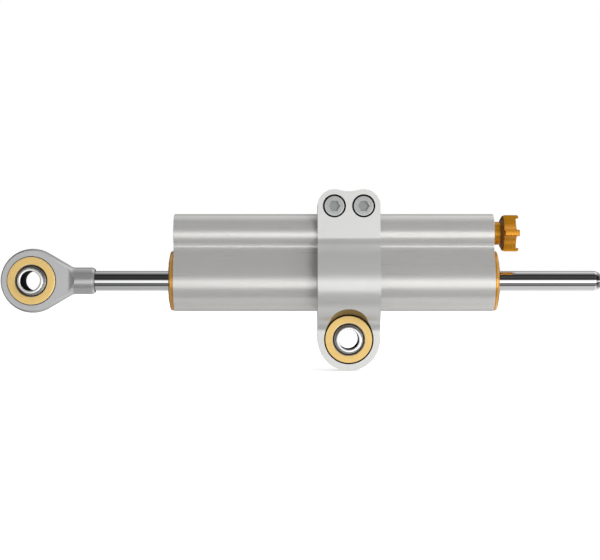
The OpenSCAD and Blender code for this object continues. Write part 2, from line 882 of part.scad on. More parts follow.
// The eye is a slice of a sphere, and the taper has three flats on each side around the rod's axis
module rod_end_form() {
    rotate([-90, 0, 0])
        rotate_extrude($fn = 128)
            intersection() {
                circle(r = eye_r, $fn = 128);
                translate([0, -eye_half])
                    square([eye_r, 2 * eye_half]);
            }
    intersection_for(a = [-taper_turn, 0, taper_turn])
        rotate([a, 0, 0])
            translate([0, eye_r, 0])
                rotate([90, 0, 0])
                    linear_extrude(2 * eye_r)
                        taper_front();
    rotate([0, 90, 0])
        rotate_extrude($fn = 128)
            neck_half();
}

// Top outline that the flats and their run-out leave: X from the eye's centre, Y across
module flats_top() {
    y_out = eye_half + runout_r;
    difference() {
        polygon([
            [-eye_r - cut, -eye_half],
            [flat_len, -eye_half],
            [flat_len, -y_out],
            [neck_len + cut, -y_out],
            [neck_len + cut, y_out],
            [flat_len, y_out],
            [flat_len, eye_half],
            [-eye_r - cut, eye_half]
        ]);
        for (s = [-1, 1])
            translate([flat_len, s * y_out])
                circle(r = runout_r, $fn = 96);
    }
}

module rod_end() {
    ring_seat = race_len / 2;
    color("#b4b4b0")
        difference() {
            translate([eye_x, 0, main_z])
                intersection() {
                    rod_end_form();
                    translate([0, 0, -eye_r - cut])
                        linear_extrude(2 * (eye_r + cut))
                            flats_top();
                }
            translate([eye_x, 0, main_z]) {
                rod_y(-eye_r, eye_r, race_r + thread_fit);
                rod_y(-eye_r, -ring_seat, ring_r + fit);
                rod_y(ring_seat, eye_r, ring_r + fit);
            }
            rod_x(rod_x0 - 0.6, neck_end_x + cut, rod_r + thread_fit, main_z);
        }
}

// Pieces of a spherical bearing, drawn around the origin with the bore along Y
module race() {
    color("#8c9094")
        rotate([-90, 0, 0])
            rotate_extrude($fn = 96)
                difference() {
                    translate([0, -race_len / 2])
                        square([race_r, race_len]);
                    circle(r = ball_r + fit, $fn = 96);
                }
}

module ball() {
    color("#dcdee0")
        rotate([-90, 0, 0])
            rotate_extrude($fn = 96)
                intersection() {
                    circle(r = ball_r, $fn = 96);
                    translate([sleeve_r + thread_fit, -ball_len / 2])
                        square([ball_r, ball_len]);
                }
}

module sleeve() {
    color("#ecebe6")
        difference() {
            rod_y(-sleeve_len / 2, sleeve_len / 2, sleeve_r);
            rod_y(-sleeve_len, sleeve_len, sleeve_bore_r);
        }
}

module bearing_ring(side, y_out) {
    color("#e8bc6a")
        mirror([0, side, 0])
            difference() {
                rod_y(-y_out, -race_len / 2, ring_r);
                rod_y(-y_out - cut, cut, ring_bore_r);
            }
}

module at_eye() {
    translate([eye_x, 0, main_z])
        children();
}

module rod_end_race() {
    at_eye()
        race();
}

module rod_end_ball() {
    at_eye()
        ball();
}

module rod_end_sleeve() {
    at_eye()
        sleeve();
}

module rod_end_ring_front() {
    at_eye()
        bearing_ring(0, eye_half + ring_proud);
}

module rod_end_ring_rear() {
    at_eye()
        bearing_ring(1, eye_half + ring_proud);
}

module clamp_race() {
    race();
}

module clamp_ball() {
    ball();
}

module clamp_sleeve() {
    sleeve();
}

module clamp_ring_front() {
    bearing_ring(0, lug_half - ring_sunk);
}

module clamp_ring_rear() {
    bearing_ring(1, lug_half - ring_sunk);
}

// Section of the clamp across the tubes: Y across, Z up
module clamp_section() {
    axis = [0, main_z];
    ear_c = [ear_half + ear_fillet,
             main_z + sqrt(pow(bulge_r + ear_fillet, 2) - pow(ear_half + ear_fillet, 2))];
    ear_b = axis + bulge_r * (ear_c - axis) / (bulge_r + ear_fillet);
    lug_c = [lug_half + lug_fillet,
             main_z - sqrt(pow(bulge_r + lug_fillet, 2) - pow(lug_half + lug_fillet, 2))];
    lug_b = axis + bulge_r * (lug_c - axis) / (bulge_r + lug_fillet);
    translate(axis)
        circle(r = bulge_r, $fn = 128);
    translate([-lug_half, -lug_r])
        square([2 * lug_half, lug_r + main_z]);
    translate([-ear_half, main_z])
        square([2 * ear_half, clamp_top - main_z]);
    for (side = [0, 1])
        mirror([side, 0])
            fillet_2d([ear_half, ear_c[1]], [ear_half - 1, ear_b[1] - 1], ear_b, ear_c, ear_fillet);
    difference() {
        translate([-lug_c[0], lug_c[1]])
            square([2 * lug_c[0], lug_b[1] - lug_c[1]]);
        for (s = [-1, 1])
            translate([s * lug_c[0], lug_c[1]])
                circle(r = lug_fillet, $fn = 96);
    }
}

// Outline of the clamp seen from the front: X across, Z up
module clamp_front() {
    touch_x = bolt_pitch / 2 * valley_r / (lobe_r + valley_r);
    touch_z = bolt_z + (valley_z - bolt_z) * lobe_r / (lobe_r + valley_r);
    circle(r = lug_r, $fn = 128);
    translate([-clamp_w / 2, 0])
        square([clamp_w, bolt_z]);
    for (s = [-1, 1])
        translate([s * bolt_pitch / 2, bolt_z])
            circle(r = lobe_r, $fn = 96);
    difference() {
        polygon([[-bolt_pitch / 2, bolt_z - 1], [bolt_pitch / 2, bolt_z - 1], [touch_x, touch_z],
                 [-touch_x, touch_z]]);
        translate([0, valley_z])
            circle(r = valley_r, $fn = 128);
    }
}

module clamp() {
    ring_seat = race_len / 2;
    relief_deep = clamp_deep - lug_half;
    color("#dcdcda")
        difference() {
            intersection() {
                along_x(-clamp_w / 2, clamp_w / 2)
                    clamp_section();
                translate([0, clamp_deep, 0])
                    rotate([90, 0, 0])
                        linear_extrude(2 * clamp_deep)
                            clamp_front();
            }
            translate([0, 0, main_z])
                along_x(-clamp_w / 2 - cut, clamp_w / 2 + cut)
                    body_outline(fit);
            translate([-clamp_w, -slit_w / 2, upper_z])
                cube([2 * clamp_w, slit_w, clamp_top]);
            for (s = [-1, 1])
                translate([s * bolt_pitch / 2, 0, bolt_z]) {
                    rod_y(-clamp_deep, 0, bolt_r + bolt_hole_fit);
                    rod_y(-cut, clamp_deep, bolt_r + thread_fit);
                    rod_y(-clamp_deep, seat_y, bolt_head_r + head_fit);
                }
            rod_y(-clamp_deep, clamp_deep, race_r + thread_fit);
            for (side = [0, 1])
                mirror([0, side, 0]) {
                    rod_y(-clamp_deep, -ring_seat, ring_r + fit);
                    translate([0, lap - lug_half, 0])
                        rotate([90, 0, 0])
                            cylinder(r1 = relief_r, r2 = relief_r + relief_deep * tan(relief_angle),
                                     h = relief_deep);
                }
        }
}

module clamp_bolts() {
    color("#a8aaa8")
        for (s = [-1, 1])
            translate([s * bolt_pitch / 2, 0, bolt_z])
                difference() {
                    union() {
                        rod_y(seat_y - bolt_head_h, seat_y, bolt_head_r);
                        rod_y(seat_y - lap, seat_y + bolt_len, bolt_r);
                    }
                    translate([0, seat_y - bolt_head_h - cut, 0])
                        rotate([-90, 0, 0])
                            cylinder(r = socket_af / sqrt(3), h = socket_depth + cut, $fn = 6);
                }
}

damper_body();
gland_left();
gland_right();
gland_oring_left();
gland_oring_right();
rod_bush_left();
rod_bush_right();
rod_seal_left();
rod_seal_right();
rod_wiper_left();
rod_wiper_right();
reservoir_plug();
plug_oring();
plug_clip();
fill_screw();
floating_piston();
floating_piston_oring();
valve_seat();
valve_seat_oring();
adjuster_housing();
housing_oring();
housing_clip();
spindle_oring();
adjuster_spindle();
detent_balls();
detent_spring();
adjuster_knob();
knob_screw();
metering_needle();
piston_rod();
piston();
piston_clips();
piston_ring();
rod_end();
rod_end_race();
rod_end_ball();
rod_end_sleeve();
rod_end_ring_front();
rod_end_ring_rear();
clamp();
clamp_bolts();
clamp_race();
clamp_ball();
clamp_sleeve();
clamp_ring_front();
clamp_ring_rear();
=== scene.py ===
import json
import math

import bmesh
import bpy
from mathutils import Matrix, Vector


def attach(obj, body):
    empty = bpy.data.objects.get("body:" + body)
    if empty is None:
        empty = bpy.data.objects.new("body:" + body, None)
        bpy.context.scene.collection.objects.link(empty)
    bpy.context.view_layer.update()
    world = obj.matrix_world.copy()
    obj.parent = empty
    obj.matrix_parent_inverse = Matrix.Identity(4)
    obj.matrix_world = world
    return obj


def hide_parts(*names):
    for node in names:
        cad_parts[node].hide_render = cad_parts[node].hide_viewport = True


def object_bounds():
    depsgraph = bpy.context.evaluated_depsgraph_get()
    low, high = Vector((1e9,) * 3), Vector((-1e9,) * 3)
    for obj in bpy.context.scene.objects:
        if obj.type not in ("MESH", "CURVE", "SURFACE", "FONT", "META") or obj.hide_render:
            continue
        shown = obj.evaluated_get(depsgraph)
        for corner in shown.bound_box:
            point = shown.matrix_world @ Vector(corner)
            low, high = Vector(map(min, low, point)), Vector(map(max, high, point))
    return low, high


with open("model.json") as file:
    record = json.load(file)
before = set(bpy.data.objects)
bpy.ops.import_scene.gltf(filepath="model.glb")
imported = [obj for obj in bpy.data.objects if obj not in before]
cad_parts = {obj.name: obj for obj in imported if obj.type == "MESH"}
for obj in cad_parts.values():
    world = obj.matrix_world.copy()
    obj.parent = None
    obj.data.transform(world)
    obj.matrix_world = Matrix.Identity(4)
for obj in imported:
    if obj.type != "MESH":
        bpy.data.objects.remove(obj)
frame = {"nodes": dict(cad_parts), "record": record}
cadLow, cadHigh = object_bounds()
cadNodes = frame["nodes"]
scene = bpy.context.scene
print("frame loaded,", len(cadNodes), "nodes")

# Pieces are drawn in millimetres and made metres when they are finished
metres = 0.001
mainAxis = 23.75  # height of the main tube's axis above the clamp's bearing
upperAxis = 43.15  # the upper tube's axis
eyeCentre = -128.7  # the rod end's bearing, to the left of the clamp's
within = 0.01  # how close a face or an edge lies to the place it is picked by


# Colours and nodes

def linearColour(hexText):
    channels = [int(hexText[i:i + 2], 16) / 255 for i in (1, 3, 5)]
    straight = [c / 12.92 if c <= 0.04045 else ((c + 0.055) / 1.055) ** 2.4 for c in channels]
    return straight + [1]


def addNode(tree, kind, settings=None, inputs=None):
    made = tree.nodes.new("ShaderNode" + kind)
    for name, value in (settings or {}).items():
        setattr(made, name, value)
    for name, value in (inputs or {}).items():
        if isinstance(value, bpy.types.NodeSocket):
            tree.links.new(value, made.inputs[name])
        else:
            made.inputs[name].default_value = value
    return made


def perMillimetre(size):
    return 1 / (size * metres)  # noise scale whose features are that many millimetres wide


# Metals: a tone and a roughness that vary a little, fine lines or grain as bump, eased edges that shine,
# a clear skin on some, and painted shade that darkens narrow gaps, recesses and faces turned away from the
# light. Sizes are in millimetres. Real drawing and turning marks are finer than a pixel, so the lines are
# 0.35 to 0.6 mm wide to show at all.

def metal(name, look):
    made = bpy.data.materials.new(name)
    made.use_nodes = True
    tree = made.node_tree
    shader = tree.nodes["Principled BSDF"]
    place = addNode(tree, "TexCoord").outputs["Object"]
    stretch = addNode(tree, "Mapping", None, {"Vector": place, "Scale": look["stretch"]}).outputs["Vector"]
    cloud = addNode(tree, "TexNoise", None, {
        "Vector": place, "Scale": perMillimetre(look["cloudSize"]), "Detail": 3.0}).outputs["Fac"]
    lines = addNode(tree, "TexNoise", None, {
        "Vector": stretch, "Scale": perMillimetre(look["lineSize"]), "Detail": 2.0}).outputs["Fac"]
    grain = addNode(tree, "TexNoise", None, {
        "Vector": place, "Scale": perMillimetre(look["grainSize"]), "Detail": 2.0}).outputs["Fac"]
    edge = addNode(tree, "Attribute", {"attribute_name": "easedEdgeAndHighlight"}).outputs["Fac"]
    tone = addNode(tree, "Mix", {"data_type": "RGBA"}, {
        0: cloud, 6: linearColour(look["dark"]), 7: linearColour(look["light"])}).outputs[2]
    eased = addNode(tree, "Mix", {"data_type": "RGBA"}, {
        0: edge, 6: tone, 7: linearColour(look["edge"])}).outputs[2]
    # Painted shade: up to 0.5 it mixes in the finish's shade tone, above 0.5 it turns black, rough and not
    # metallic
    paintedShade = addNode(tree, "Attribute", {"attribute_name": "paintedShade"}).outputs["Fac"]
    deepShade = addNode(tree, "MapRange", None, {
        "Value": paintedShade, "From Min": 0.5, "From Max": 1.0}).outputs["Result"]
    lightShade = addNode(tree, "MapRange", None, {
        "Value": paintedShade, "From Min": 0.0, "From Max": 0.5}).outputs["Result"]
    shadeTone = addNode(tree, "Mix", {"data_type": "RGBA"}, {
        0: deepShade, 6: linearColour(look.get("shadeTone", "#3A3A38")), 7: linearColour("#0B0B0B")}).outputs[2]
    shown = addNode(tree, "Mix", {"data_type": "RGBA"}, {0: lightShade, 6: eased, 7: shadeTone}).outputs[2]
    tree.links.new(shown, shader.inputs["Base Color"])
    low, high = look["roughness"]
    rough = addNode(tree, "MapRange", None, {
        "Value": lines, "From Min": 0.3, "From Max": 0.7, "To Min": low, "To Max": high}).outputs["Result"]
    worn = addNode(tree, "Mix", {"data_type": "FLOAT"}, {
        0: edge, 2: rough, 3: look["edgeRoughness"]}).outputs[0]
    dull = addNode(tree, "Mix", {"data_type": "FLOAT"}, {0: deepShade, 2: worn, 3: 0.9}).outputs[0]
    tree.links.new(dull, shader.inputs["Roughness"])
    bare = addNode(tree, "Mix", {"data_type": "FLOAT"}, {0: deepShade, 2: look["metallic"], 3: 0.0}).outputs[0]
    tree.links.new(bare, shader.inputs["Metallic"])
    relief = addNode(tree, "Mix", {"data_type": "FLOAT"}, {
        0: look["grainShare"], 2: lines, 3: grain}).outputs[0]
    bump = addNode(tree, "Bump", None, {
        "Strength": 1.0, "Distance": look["relief"] * metres, "Height": relief}).outputs["Normal"]
    tree.links.new(bump, shader.inputs["Normal"])
    shader.inputs["Coat Weight"].default_value = look.get("skin", 0.0)
    shader.inputs["Coat Roughness"].default_value = 0.18
    return made


# Extruded 6000-series tube, blasted and clear anodised: a soft grey sheen with faint drawing lines along it
def anodisedTube():
    return metal("anodisedTube", {
        "dark": "#DCDBD8", "light": "#E4E3E0", "edge": "#F0F0EE", "metallic": 0.6,
        "cloudSize": 18, "lineSize": 0.5, "stretch": (0.012, 1, 1), "grainSize": 0.45,
        "roughness": (0.27, 0.35), "edgeRoughness": 0.22, "grainShare": 0.5, "relief": 0.0015})


# Milled and blasted clamp, clear anodised: paler and finer than the tube, with eased edges that shine
# brighter; its olive shade tone is a painted reflection of the gold ring, laid on the relief above the lug's
# bearing
def anodisedClamp():
    return metal("anodisedClamp", {
        "dark": "#DADAD8", "light": "#DFDFDD", "edge": "#F0F0EE", "shadeTone": "#8A7440", "metallic": 0.55,
        "cloudSize": 12, "lineSize": 0.6, "stretch": (0.3, 1, 1), "grainSize": 0.4,
        "roughness": (0.29, 0.32), "edgeRoughness": 0.2, "grainShare": 0.9, "relief": 0.0006})


# Turned rod end, satin grey anodised: fine turning rings and a slightly cool tone
def anodisedRodEnd():
    return metal("anodisedRodEnd", {
        "dark": "#C6C6C8", "light": "#CFCFCF", "edge": "#E0E0E0", "metallic": 0.7,
        "cloudSize": 10, "lineSize": 0.5, "stretch": (1, 0.05, 0.05), "grainSize": 0.4,
        "roughness": (0.28, 0.32), "edgeRoughness": 0.22, "grainShare": 0.8, "relief": 0.0003})


# Gold anodised aluminium, turned and milled: deep amber under a clear sealed skin, brighter at eased edges,
# with a dark brown painted shade tone for the knob's back cone
def goldAnodised():
    return metal("goldAnodised", {
        "dark": "#DE9418", "light": "#E79E1F", "edge": "#F8BE66", "shadeTone": "#4A2204",
        "metallic": 0.6, "skin": 0.2,
        "cloudSize": 6, "lineSize": 0.4, "stretch": (1, 0.06, 0.06), "grainSize": 0.35,
        "roughness": (0.26, 0.29), "edgeRoughness": 0.18, "grainShare": 0.7, "relief": 0.0003})


# Pale gold bearing rings, faced on a lathe: a flat straw colour with fine circles
def paleGoldRing():
    return metal("paleGoldRing", {
        "dark": "#F0CA7A", "light": "#F6D288", "edge": "#FAE0A8", "metallic": 0.5,
        "cloudSize": 5, "lineSize": 0.35, "stretch": (0.5, 1, 0.5), "grainSize": 0.3,
        "roughness": (0.3, 0.38), "edgeRoughness": 0.22, "grainShare": 0.6, "relief": 0.0008})


# Ground and hard chromed rod: a mirror whose grinding marks run round it, too fine to show apart
def hardChrome():
    return metal("hardChrome", {
        "dark": "#E8E8EA", "light": "#F0F0F1", "edge": "#F4F4F4", "metallic": 1.0,
        "cloudSize": 15, "lineSize": 0.4, "stretch": (1, 0.03, 0.03), "grainSize": 0.5,
        "roughness": (0.045, 0.075), "edgeRoughness": 0.08, "grainShare": 0.3, "relief": 0.0002})


# Ground and polished bearing steel: dark and sharp in its reflections
def bearingSteel():
    return metal("bearingSteel", {
        "dark": "#808286", "light": "#8E9094", "edge": "#D8DADC", "metallic": 1.0,
        "cloudSize": 6, "lineSize": 0.35, "stretch": (1, 0.05, 1), "grainSize": 0.4,
        "roughness": (0.1, 0.16), "edgeRoughness": 0.1, "grainShare": 0.3, "relief": 0.0003})


# Bright zinc on steel: pale, with a soft mottled gloss
def brightZinc():
    return metal("brightZinc", {
        "dark": "#F2F2F1", "light": "#F9F9F8", "edge": "#FAFAFA", "metallic": 0.85,
        "cloudSize": 2.5, "lineSize": 0.4, "stretch": (1, 0.1, 1), "grainSize": 0.35,
        "roughness": (0.18, 0.28), "edgeRoughness": 0.14, "grainShare": 0.6, "relief": 0.0008})


# Satin zinc cap screws: grey, with the grain of a rolled and forged head
def screwZinc():
    return metal("screwZinc", {
        "dark": "#B4B6B6", "light": "#C6C8C7", "edge": "#DEDFDE", "metallic": 0.7,
        "cloudSize": 1.6, "lineSize": 0.35, "stretch": (1, 1, 1), "grainSize": 0.3,
        "roughness": (0.3, 0.42), "edgeRoughness": 0.24, "grainShare": 0.8, "relief": 0.002})


# Oiled spring steel: nearly black, with a faint gloss
def springSteel():
    return metal("springSteel", {
        "dark": "#3A3D40", "light": "#4A4D50", "edge": "#707376", "metallic": 0.9,
        "cloudSize": 2, "lineSize": 0.35, "stretch": (1, 1, 1), "grainSize": 0.3,
        "roughness": (0.3, 0.42), "edgeRoughness": 0.25, "grainShare": 0.7, "relief": 0.0015})


# Bearing bronze: brown gold with turning marks
def bearingBronze():
    return metal("bearingBronze", {
        "dark": "#94703A", "light": "#A67E46", "edge": "#C49C60", "metallic": 1.0,
        "cloudSize": 3, "lineSize": 0.35, "stretch": (1, 0.05, 0.05), "grainSize": 0.3,
        "roughness": (0.28, 0.38), "edgeRoughness": 0.22, "grainShare": 0.4, "relief": 0.001})


# Machined brass: yellow and bright, with turning marks
def machinedBrass():
    return metal("machinedBrass", {
        "dark": "#BE9A5C", "light": "#CCA868", "edge": "#E4C488", "metallic": 1.0,
        "cloudSize": 3, "lineSize": 0.35, "stretch": (1, 0.05, 0.05), "grainSize": 0.3,
        "roughness": (0.2, 0.28), "edgeRoughness": 0.16, "grainShare": 0.4, "relief": 0.0008})


# Moulded seals and rings: a coat of fine moulding grain over an even, dull colour
def moulded(name, look):
    made = bpy.data.materials.new(name)
    made.use_nodes = True
    tree = made.node_tree
    shader = tree.nodes["Principled BSDF"]
    place = addNode(tree, "TexCoord").outputs["Object"]
    cloud = addNode(tree, "TexNoise", None, {
        "Vector": place, "Scale": perMillimetre(look["cloudSize"]), "Detail": 3.0}).outputs["Fac"]
    grain = addNode(tree, "TexNoise", None, {
        "Vector": place, "Scale": perMillimetre(look["grainSize"]), "Detail": 2.0}).outputs["Fac"]
    tone = addNode(tree, "Mix", {"data_type": "RGBA"}, {
        0: cloud, 6: linearColour(look["dark"]), 7: linearColour(look["light"])}).outputs[2]
    tree.links.new(tone, shader.inputs["Base Color"])
    low, high = look["roughness"]
    rough = addNode(tree, "MapRange", None, {"Value": grain, "To Min": low, "To Max": high}).outputs["Result"]
    tree.links.new(rough, shader.inputs["Roughness"])
    bump = addNode(tree, "Bump", None, {
        "Strength": 1.0, "Distance": look["relief"] * metres, "Height": grain}).outputs["Normal"]
    tree.links.new(bump, shader.inputs["Normal"])
    shader.inputs["IOR"].default_value = look["ior"]
    return made


def nitrileRubber():  # black, dull, slightly oily
    return moulded("nitrileRubber", {
        "dark": "#121212", "light": "#1C1C1D", "cloudSize": 2, "grainSize": 0.25, "relief": 0.003,
        "roughness": (0.45, 0.6), "ior": 1.52})


def sealUrethane():  # blue, waxy
    return moulded("sealUrethane", {
        "dark": "#285480", "light": "#2F6090", "cloudSize": 2, "grainSize": 0.3, "relief": 0.002,
        "roughness": (0.32, 0.42), "ior": 1.5})


def filledPtfe():  # brown, chalky, with bronze specks
    return moulded("filledPtfe", {
        "dark": "#4C4234", "light": "#66563E", "cloudSize": 0.6, "grainSize": 0.25, "relief": 0.002,
        "roughness": (0.4, 0.55), "ior": 1.38})


finishes = {
    "silver_anodised": anodisedTube(),
    "clamp_anodised": anodisedClamp(),
    "rod_end_satin": anodisedRodEnd(),
    "gold_anodised": goldAnodised(),
    "ring_gold": paleGoldRing(),
    "chrome_rod": hardChrome(),
    "bearing_steel": bearingSteel(),
    "steel_zinc": brightZinc(),
    "steel_dark": springSteel(),
    "bronze": bearingBronze(),
    "brass_seat": machinedBrass(),
    "nitrile": nitrileRubber(),
    "polyurethane": sealUrethane(),
    "ptfe": filledPtfe(),
}
screwFinish = screwZinc()
print("materials made")


# Drawing tools

def addMarks(shape):
    for name in ("easedEdgeAndHighlight", "paintedShade"):
        if name not in shape.faces.layers.float:
            shape.faces.layers.float.new(name)
    return shape


def startShape():
    return addMarks(bmesh.new())


# Paints shade on the faces that chosen() accepts: 0 is none, 0.5 is the finish's shade tone, and 1 is black
def paintShade(shape, chosen, amount=1.0):
    mark = shape.faces.layers.float["paintedShade"]
    for face in shape.faces:
        share = chosen(face.calc_center_median())
        if share:
            face[mark] = amount * share


# Turns a closed profile of (along, radius) about X, or about Y, and moves it to its centre
def turned(profile, steps=96, alongY=False, centre=(0, 0, 0)):
    shape = startShape()
    corners = [shape.verts.new((along, 0, radius)) for along, radius in profile]
    rim = [shape.edges.new(pair) for pair in zip(corners, corners[1:] + corners[:1])]
    bmesh.ops.spin(shape, geom=corners + rim, cent=(0, 0, 0), axis=(1, 0, 0), angle=math.tau, steps=steps,
                   use_merge=True)
    bmesh.ops.remove_doubles(shape, verts=shape.verts, dist=0.0005)
    bmesh.ops.dissolve_degenerate(shape, edges=shape.edges, dist=0.0005)
    bmesh.ops.recalc_face_normals(shape, faces=shape.faces)
    if alongY:
        bmesh.ops.rotate(shape, verts=shape.verts, matrix=Matrix.Rotation(math.pi / 2, 3, "Z"))
    bmesh.ops.translate(shape, verts=shape.verts, vec=centre)
    return shape


# Pen strokes for an outline that is drawn flat, to be closed by its mirror image and given a depth
def strokeTo(shape, start, end):
    made = bmesh.ops.extrude_vert_indiv(shape, verts=[start])["verts"][0]
    made.co = Vector((end[0], end[1], 0))
    return made


def arcTo(shape, start, centre, end, steps, clockwise=False):
    centre, end = Vector((*centre, 0)), Vector((*end, 0))
    first, last = start.co - centre, end - centre
    angle = (math.atan2(last.y, last.x) - math.atan2(first.y, first.x)) % math.tau
    if clockwise:
        angle -= math.tau
    made = bmesh.ops.spin(shape, geom=[start], cent=centre, axis=(0, 0, 1), angle=angle, steps=steps)
    stop = [part for part in made["geom_last"] if isinstance(part, bmesh.types.BMVert)][0]
    stop.co = end
    return stop


# Mirrors a half outline about the drawing's own upright, fills it and pulls it to its depth
def extruded(shape, depth, mirrored=True):
    if mirrored:
        bmesh.ops.mirror(shape, geom=shape.verts[:] + shape.edges[:], axis="X", merge_dist=0.001)
    bmesh.ops.remove_doubles(shape, verts=shape.verts, dist=0.001)
    face = bmesh.ops.contextual_create(shape, geom=shape.edges[:])["faces"]
    pulled = bmesh.ops.extrude_face_region(shape, geom=face)["geom"]
    tops = [part for part in pulled if isinstance(part, bmesh.types.BMVert)]
    bmesh.ops.translate(shape, verts=tops, vec=(0, 0, depth))
    bmesh.ops.translate(shape, verts=shape.verts, vec=(0, 0, -depth / 2))
    bmesh.ops.recalc_face_normals(shape, faces=shape.faces)
    return shape


# A drawing's right and up become Y and Z with its depth along X, or X and Z with its depth along Y
def standAlongX(shape, height=0):
    bmesh.ops.transform(shape, verts=shape.verts, matrix=Matrix((
        (0, 0, 1, 0), (1, 0, 0, 0), (0, 1, 0, height), (0, 0, 0, 1))))
    return shape


def standAlongY(shape):
    bmesh.ops.transform(shape, verts=shape.verts, matrix=Matrix((
        (1, 0, 0, 0), (0, 0, -1, 0), (0, 1, 0, 0), (0, 0, 0, 1))))
    return shape


# Cuts the tool out of the shape, or keeps what both share, and uses both up
def carved(shape, tool, operation="DIFFERENCE"):
    pair = []
    for part in (shape, tool):
        mesh = bpy.data.meshes.new("carving")
        part.to_mesh(mesh)
        part.free()
        pair.append(bpy.data.objects.new("carving", mesh))
        scene.collection.objects.link(pair[-1])
    step = pair[0].modifiers.new("carve", "BOOLEAN")
    step.object = pair[1]
    step.operation = operation
    step.solver = "EXACT"
    bpy.context.view_layer.update()
    made = bpy.data.meshes.new_from_object(pair[0].evaluated_get(bpy.context.evaluated_depsgraph_get()))
    result = bmesh.new()
    result.from_mesh(made)
    addMarks(result)
    for part in pair:
        mesh = part.data
        bpy.data.objects.remove(part)
        bpy.data.meshes.remove(mesh)
    bpy.data.meshes.remove(made)
    return result


# Rounds the sharp edges that chosen() accepts, and marks the new faces so that the finish can shine there
def easeEdges(shape, width, chosen=None, segments=2, sharpest=30):
    sharp = [edge for edge in shape.edges
             if len(edge.link_faces) == 2 and edge.calc_face_angle(0) > math.radians(sharpest)
             and (chosen is None or chosen(edge))]
    mark = shape.faces.layers.float["easedEdgeAndHighlight"]
    made = bmesh.ops.bevel(shape, geom=sharp, offset=width, offset_type="OFFSET", segments=segments,
                           profile=0.5, affect="EDGES", clamp_overlap=True, material=-1)
    for face in made["faces"]:
        face[mark] = 1


def middleOf(edge):
    return (edge.verts[0].co + edge.verts[1].co) / 2


# Edges where a face without painted shade meets one with it: they stay sharp, however flat they are
def shadeBorders(shape):
    mark = shape.faces.layers.float["paintedShade"]
    shape.edges.index_update()
    return [edge.index for edge in shape.edges if len(edge.link_faces) == 2
            and abs(edge.link_faces[0][mark] - edge.link_faces[1][mark]) > 0.2]


def finishPiece(name, shape, body, slot, replaced, finish=None):
    bmesh.ops.scale(shape, verts=shape.verts, vec=(metres, metres, metres))
    mesh = bpy.data.meshes.new(name)
    borders = shadeBorders(shape)
    shape.to_mesh(mesh)
    shape.free()
    mesh.shade_smooth()
    mesh.set_sharp_from_angle(angle=math.radians(40))
    for i in borders:
        mesh.edges[i].use_edge_sharp = True
    mesh.materials.append(finish or finishes[slot])
    piece = bpy.data.objects.new(name, mesh)
    scene.collection.objects.link(piece)
    weighted = piece.modifiers.new("even shading", "WEIGHTED_NORMAL")
    weighted.keep_sharp = True
    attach(piece, body)
    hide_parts(*replaced)


# Double tube

tube = {"left": -71, "right": 59, "radius": 12.35, "upperRadius": 7.8, "flank": 35.3, "fillet": 0.8,
        "bore": 10, "upperBore": 5.5, "clipFrom": -70.3, "clipTo": -69.25, "clipGroove": 6.13, "edge": 0.3}


# Centre of the fillet in the groove between the two round sides, with the flank's outward direction
def grooveCentre(radius, upper, fillet):
    lean = math.radians(tube["flank"])
    out = Vector((math.cos(lean), math.sin(lean)))
    down = Vector((out.y, -out.x))
    gap = upperAxis - mainAxis
    offset = radius - gap * out.y + fillet
    return Vector((0, gap)) + offset * out + math.sqrt((upper + fillet) ** 2 - offset ** 2) * down, out


def tubeSection(grow):
    radius, upper, fillet = tube["radius"] + grow, tube["upperRadius"] + grow, tube["fillet"] - grow
    groove, out = grooveCentre(radius, upper, fillet)
    gap = upperAxis - mainAxis
    top = Vector((0, gap))
    shape = startShape()
    pen = shape.verts.new((0, -radius, 0))
    pen = arcTo(shape, pen, (0, 0), radius * out, 56)
    pen = strokeTo(shape, pen, groove - fillet * out)
    pen = arcTo(shape, pen, groove, top + upper * (groove - top) / (upper + fillet), 10, clockwise=True)
    arcTo(shape, pen, top, (0, gap + upper), 48)
    return shape


def makeTube():
    length = tube["right"] - tube["left"]
    shape = standAlongX(extruded(tubeSection(0), length), mainAxis)
    bmesh.ops.translate(shape, verts=shape.verts, vec=((tube["left"] + tube["right"]) / 2, 0, 0))
    left, right, bore, small = tube["left"] - 1, tube["right"] + 1, tube["bore"], tube["upperBore"]
    shape = carved(shape, turned([(left, 0), (left, bore), (right, bore), (right, 0)], 128,
                                 centre=(0, 0, mainAxis)))
    clipFrom, clipTo, groove = tube["clipFrom"], tube["clipTo"], tube["clipGroove"]
    shape = carved(shape, turned([(left, 0), (left, small), (clipFrom, small), (clipFrom, groove),
                                  (clipTo, groove), (clipTo, small), (right, small), (right, 0)], 96,
                                 centre=(0, 0, upperAxis)))
    valley = grooveCentre(tube["radius"], tube["upperRadius"], tube["fillet"])[0]
    grooveHighlight = shape.faces.layers.float["easedEdgeAndHighlight"]  # painted highlight along the groove between the round sides
    for face in shape.faces:
        at = face.calc_center_median()
        if math.hypot(abs(at.y) - valley.x, at.z - mainAxis - valley.y) < tube["fillet"] + 0.05:
            face[grooveHighlight] = 1
    easeEdges(shape, tube["edge"], lambda edge: abs(middleOf(edge).x - tube["left"]) < within
              or abs(middleOf(edge).x - tube["right"]) < within, sharpest=60)
    finishPiece("doubleTube", shape, "damper", "silver_anodised", ["damper_body"])


makeTube()
print("double tube made")


# Gold end glands

# Places along the left gland, from its face inwards, and the radii between them
gland = {"faceAt": -73, "flangeEnd": -71, "ringFrom": -66.95, "ringTo": -65.05, "spigotEnd": -54,
         "noseEnd": -49, "wiperEnd": -70, "sealFrom": -68.5, "sealEnd": -64.5, "bushFrom": -58,
         "flange": 12.15, "rim": 1.3, "face": 8.6, "spigot": 9.97, "ringFloor": 8.34, "nose": 8.8,
         "wiper": 6, "seal": 6.5, "rodHole": 4.15, "bush": 5.02,
         "hole": 1.1, "holeDepth": 1.2, "holeTip": 0.6, "pitch": 9.08, "edge": 0.8, "smallEdge": 0.15}


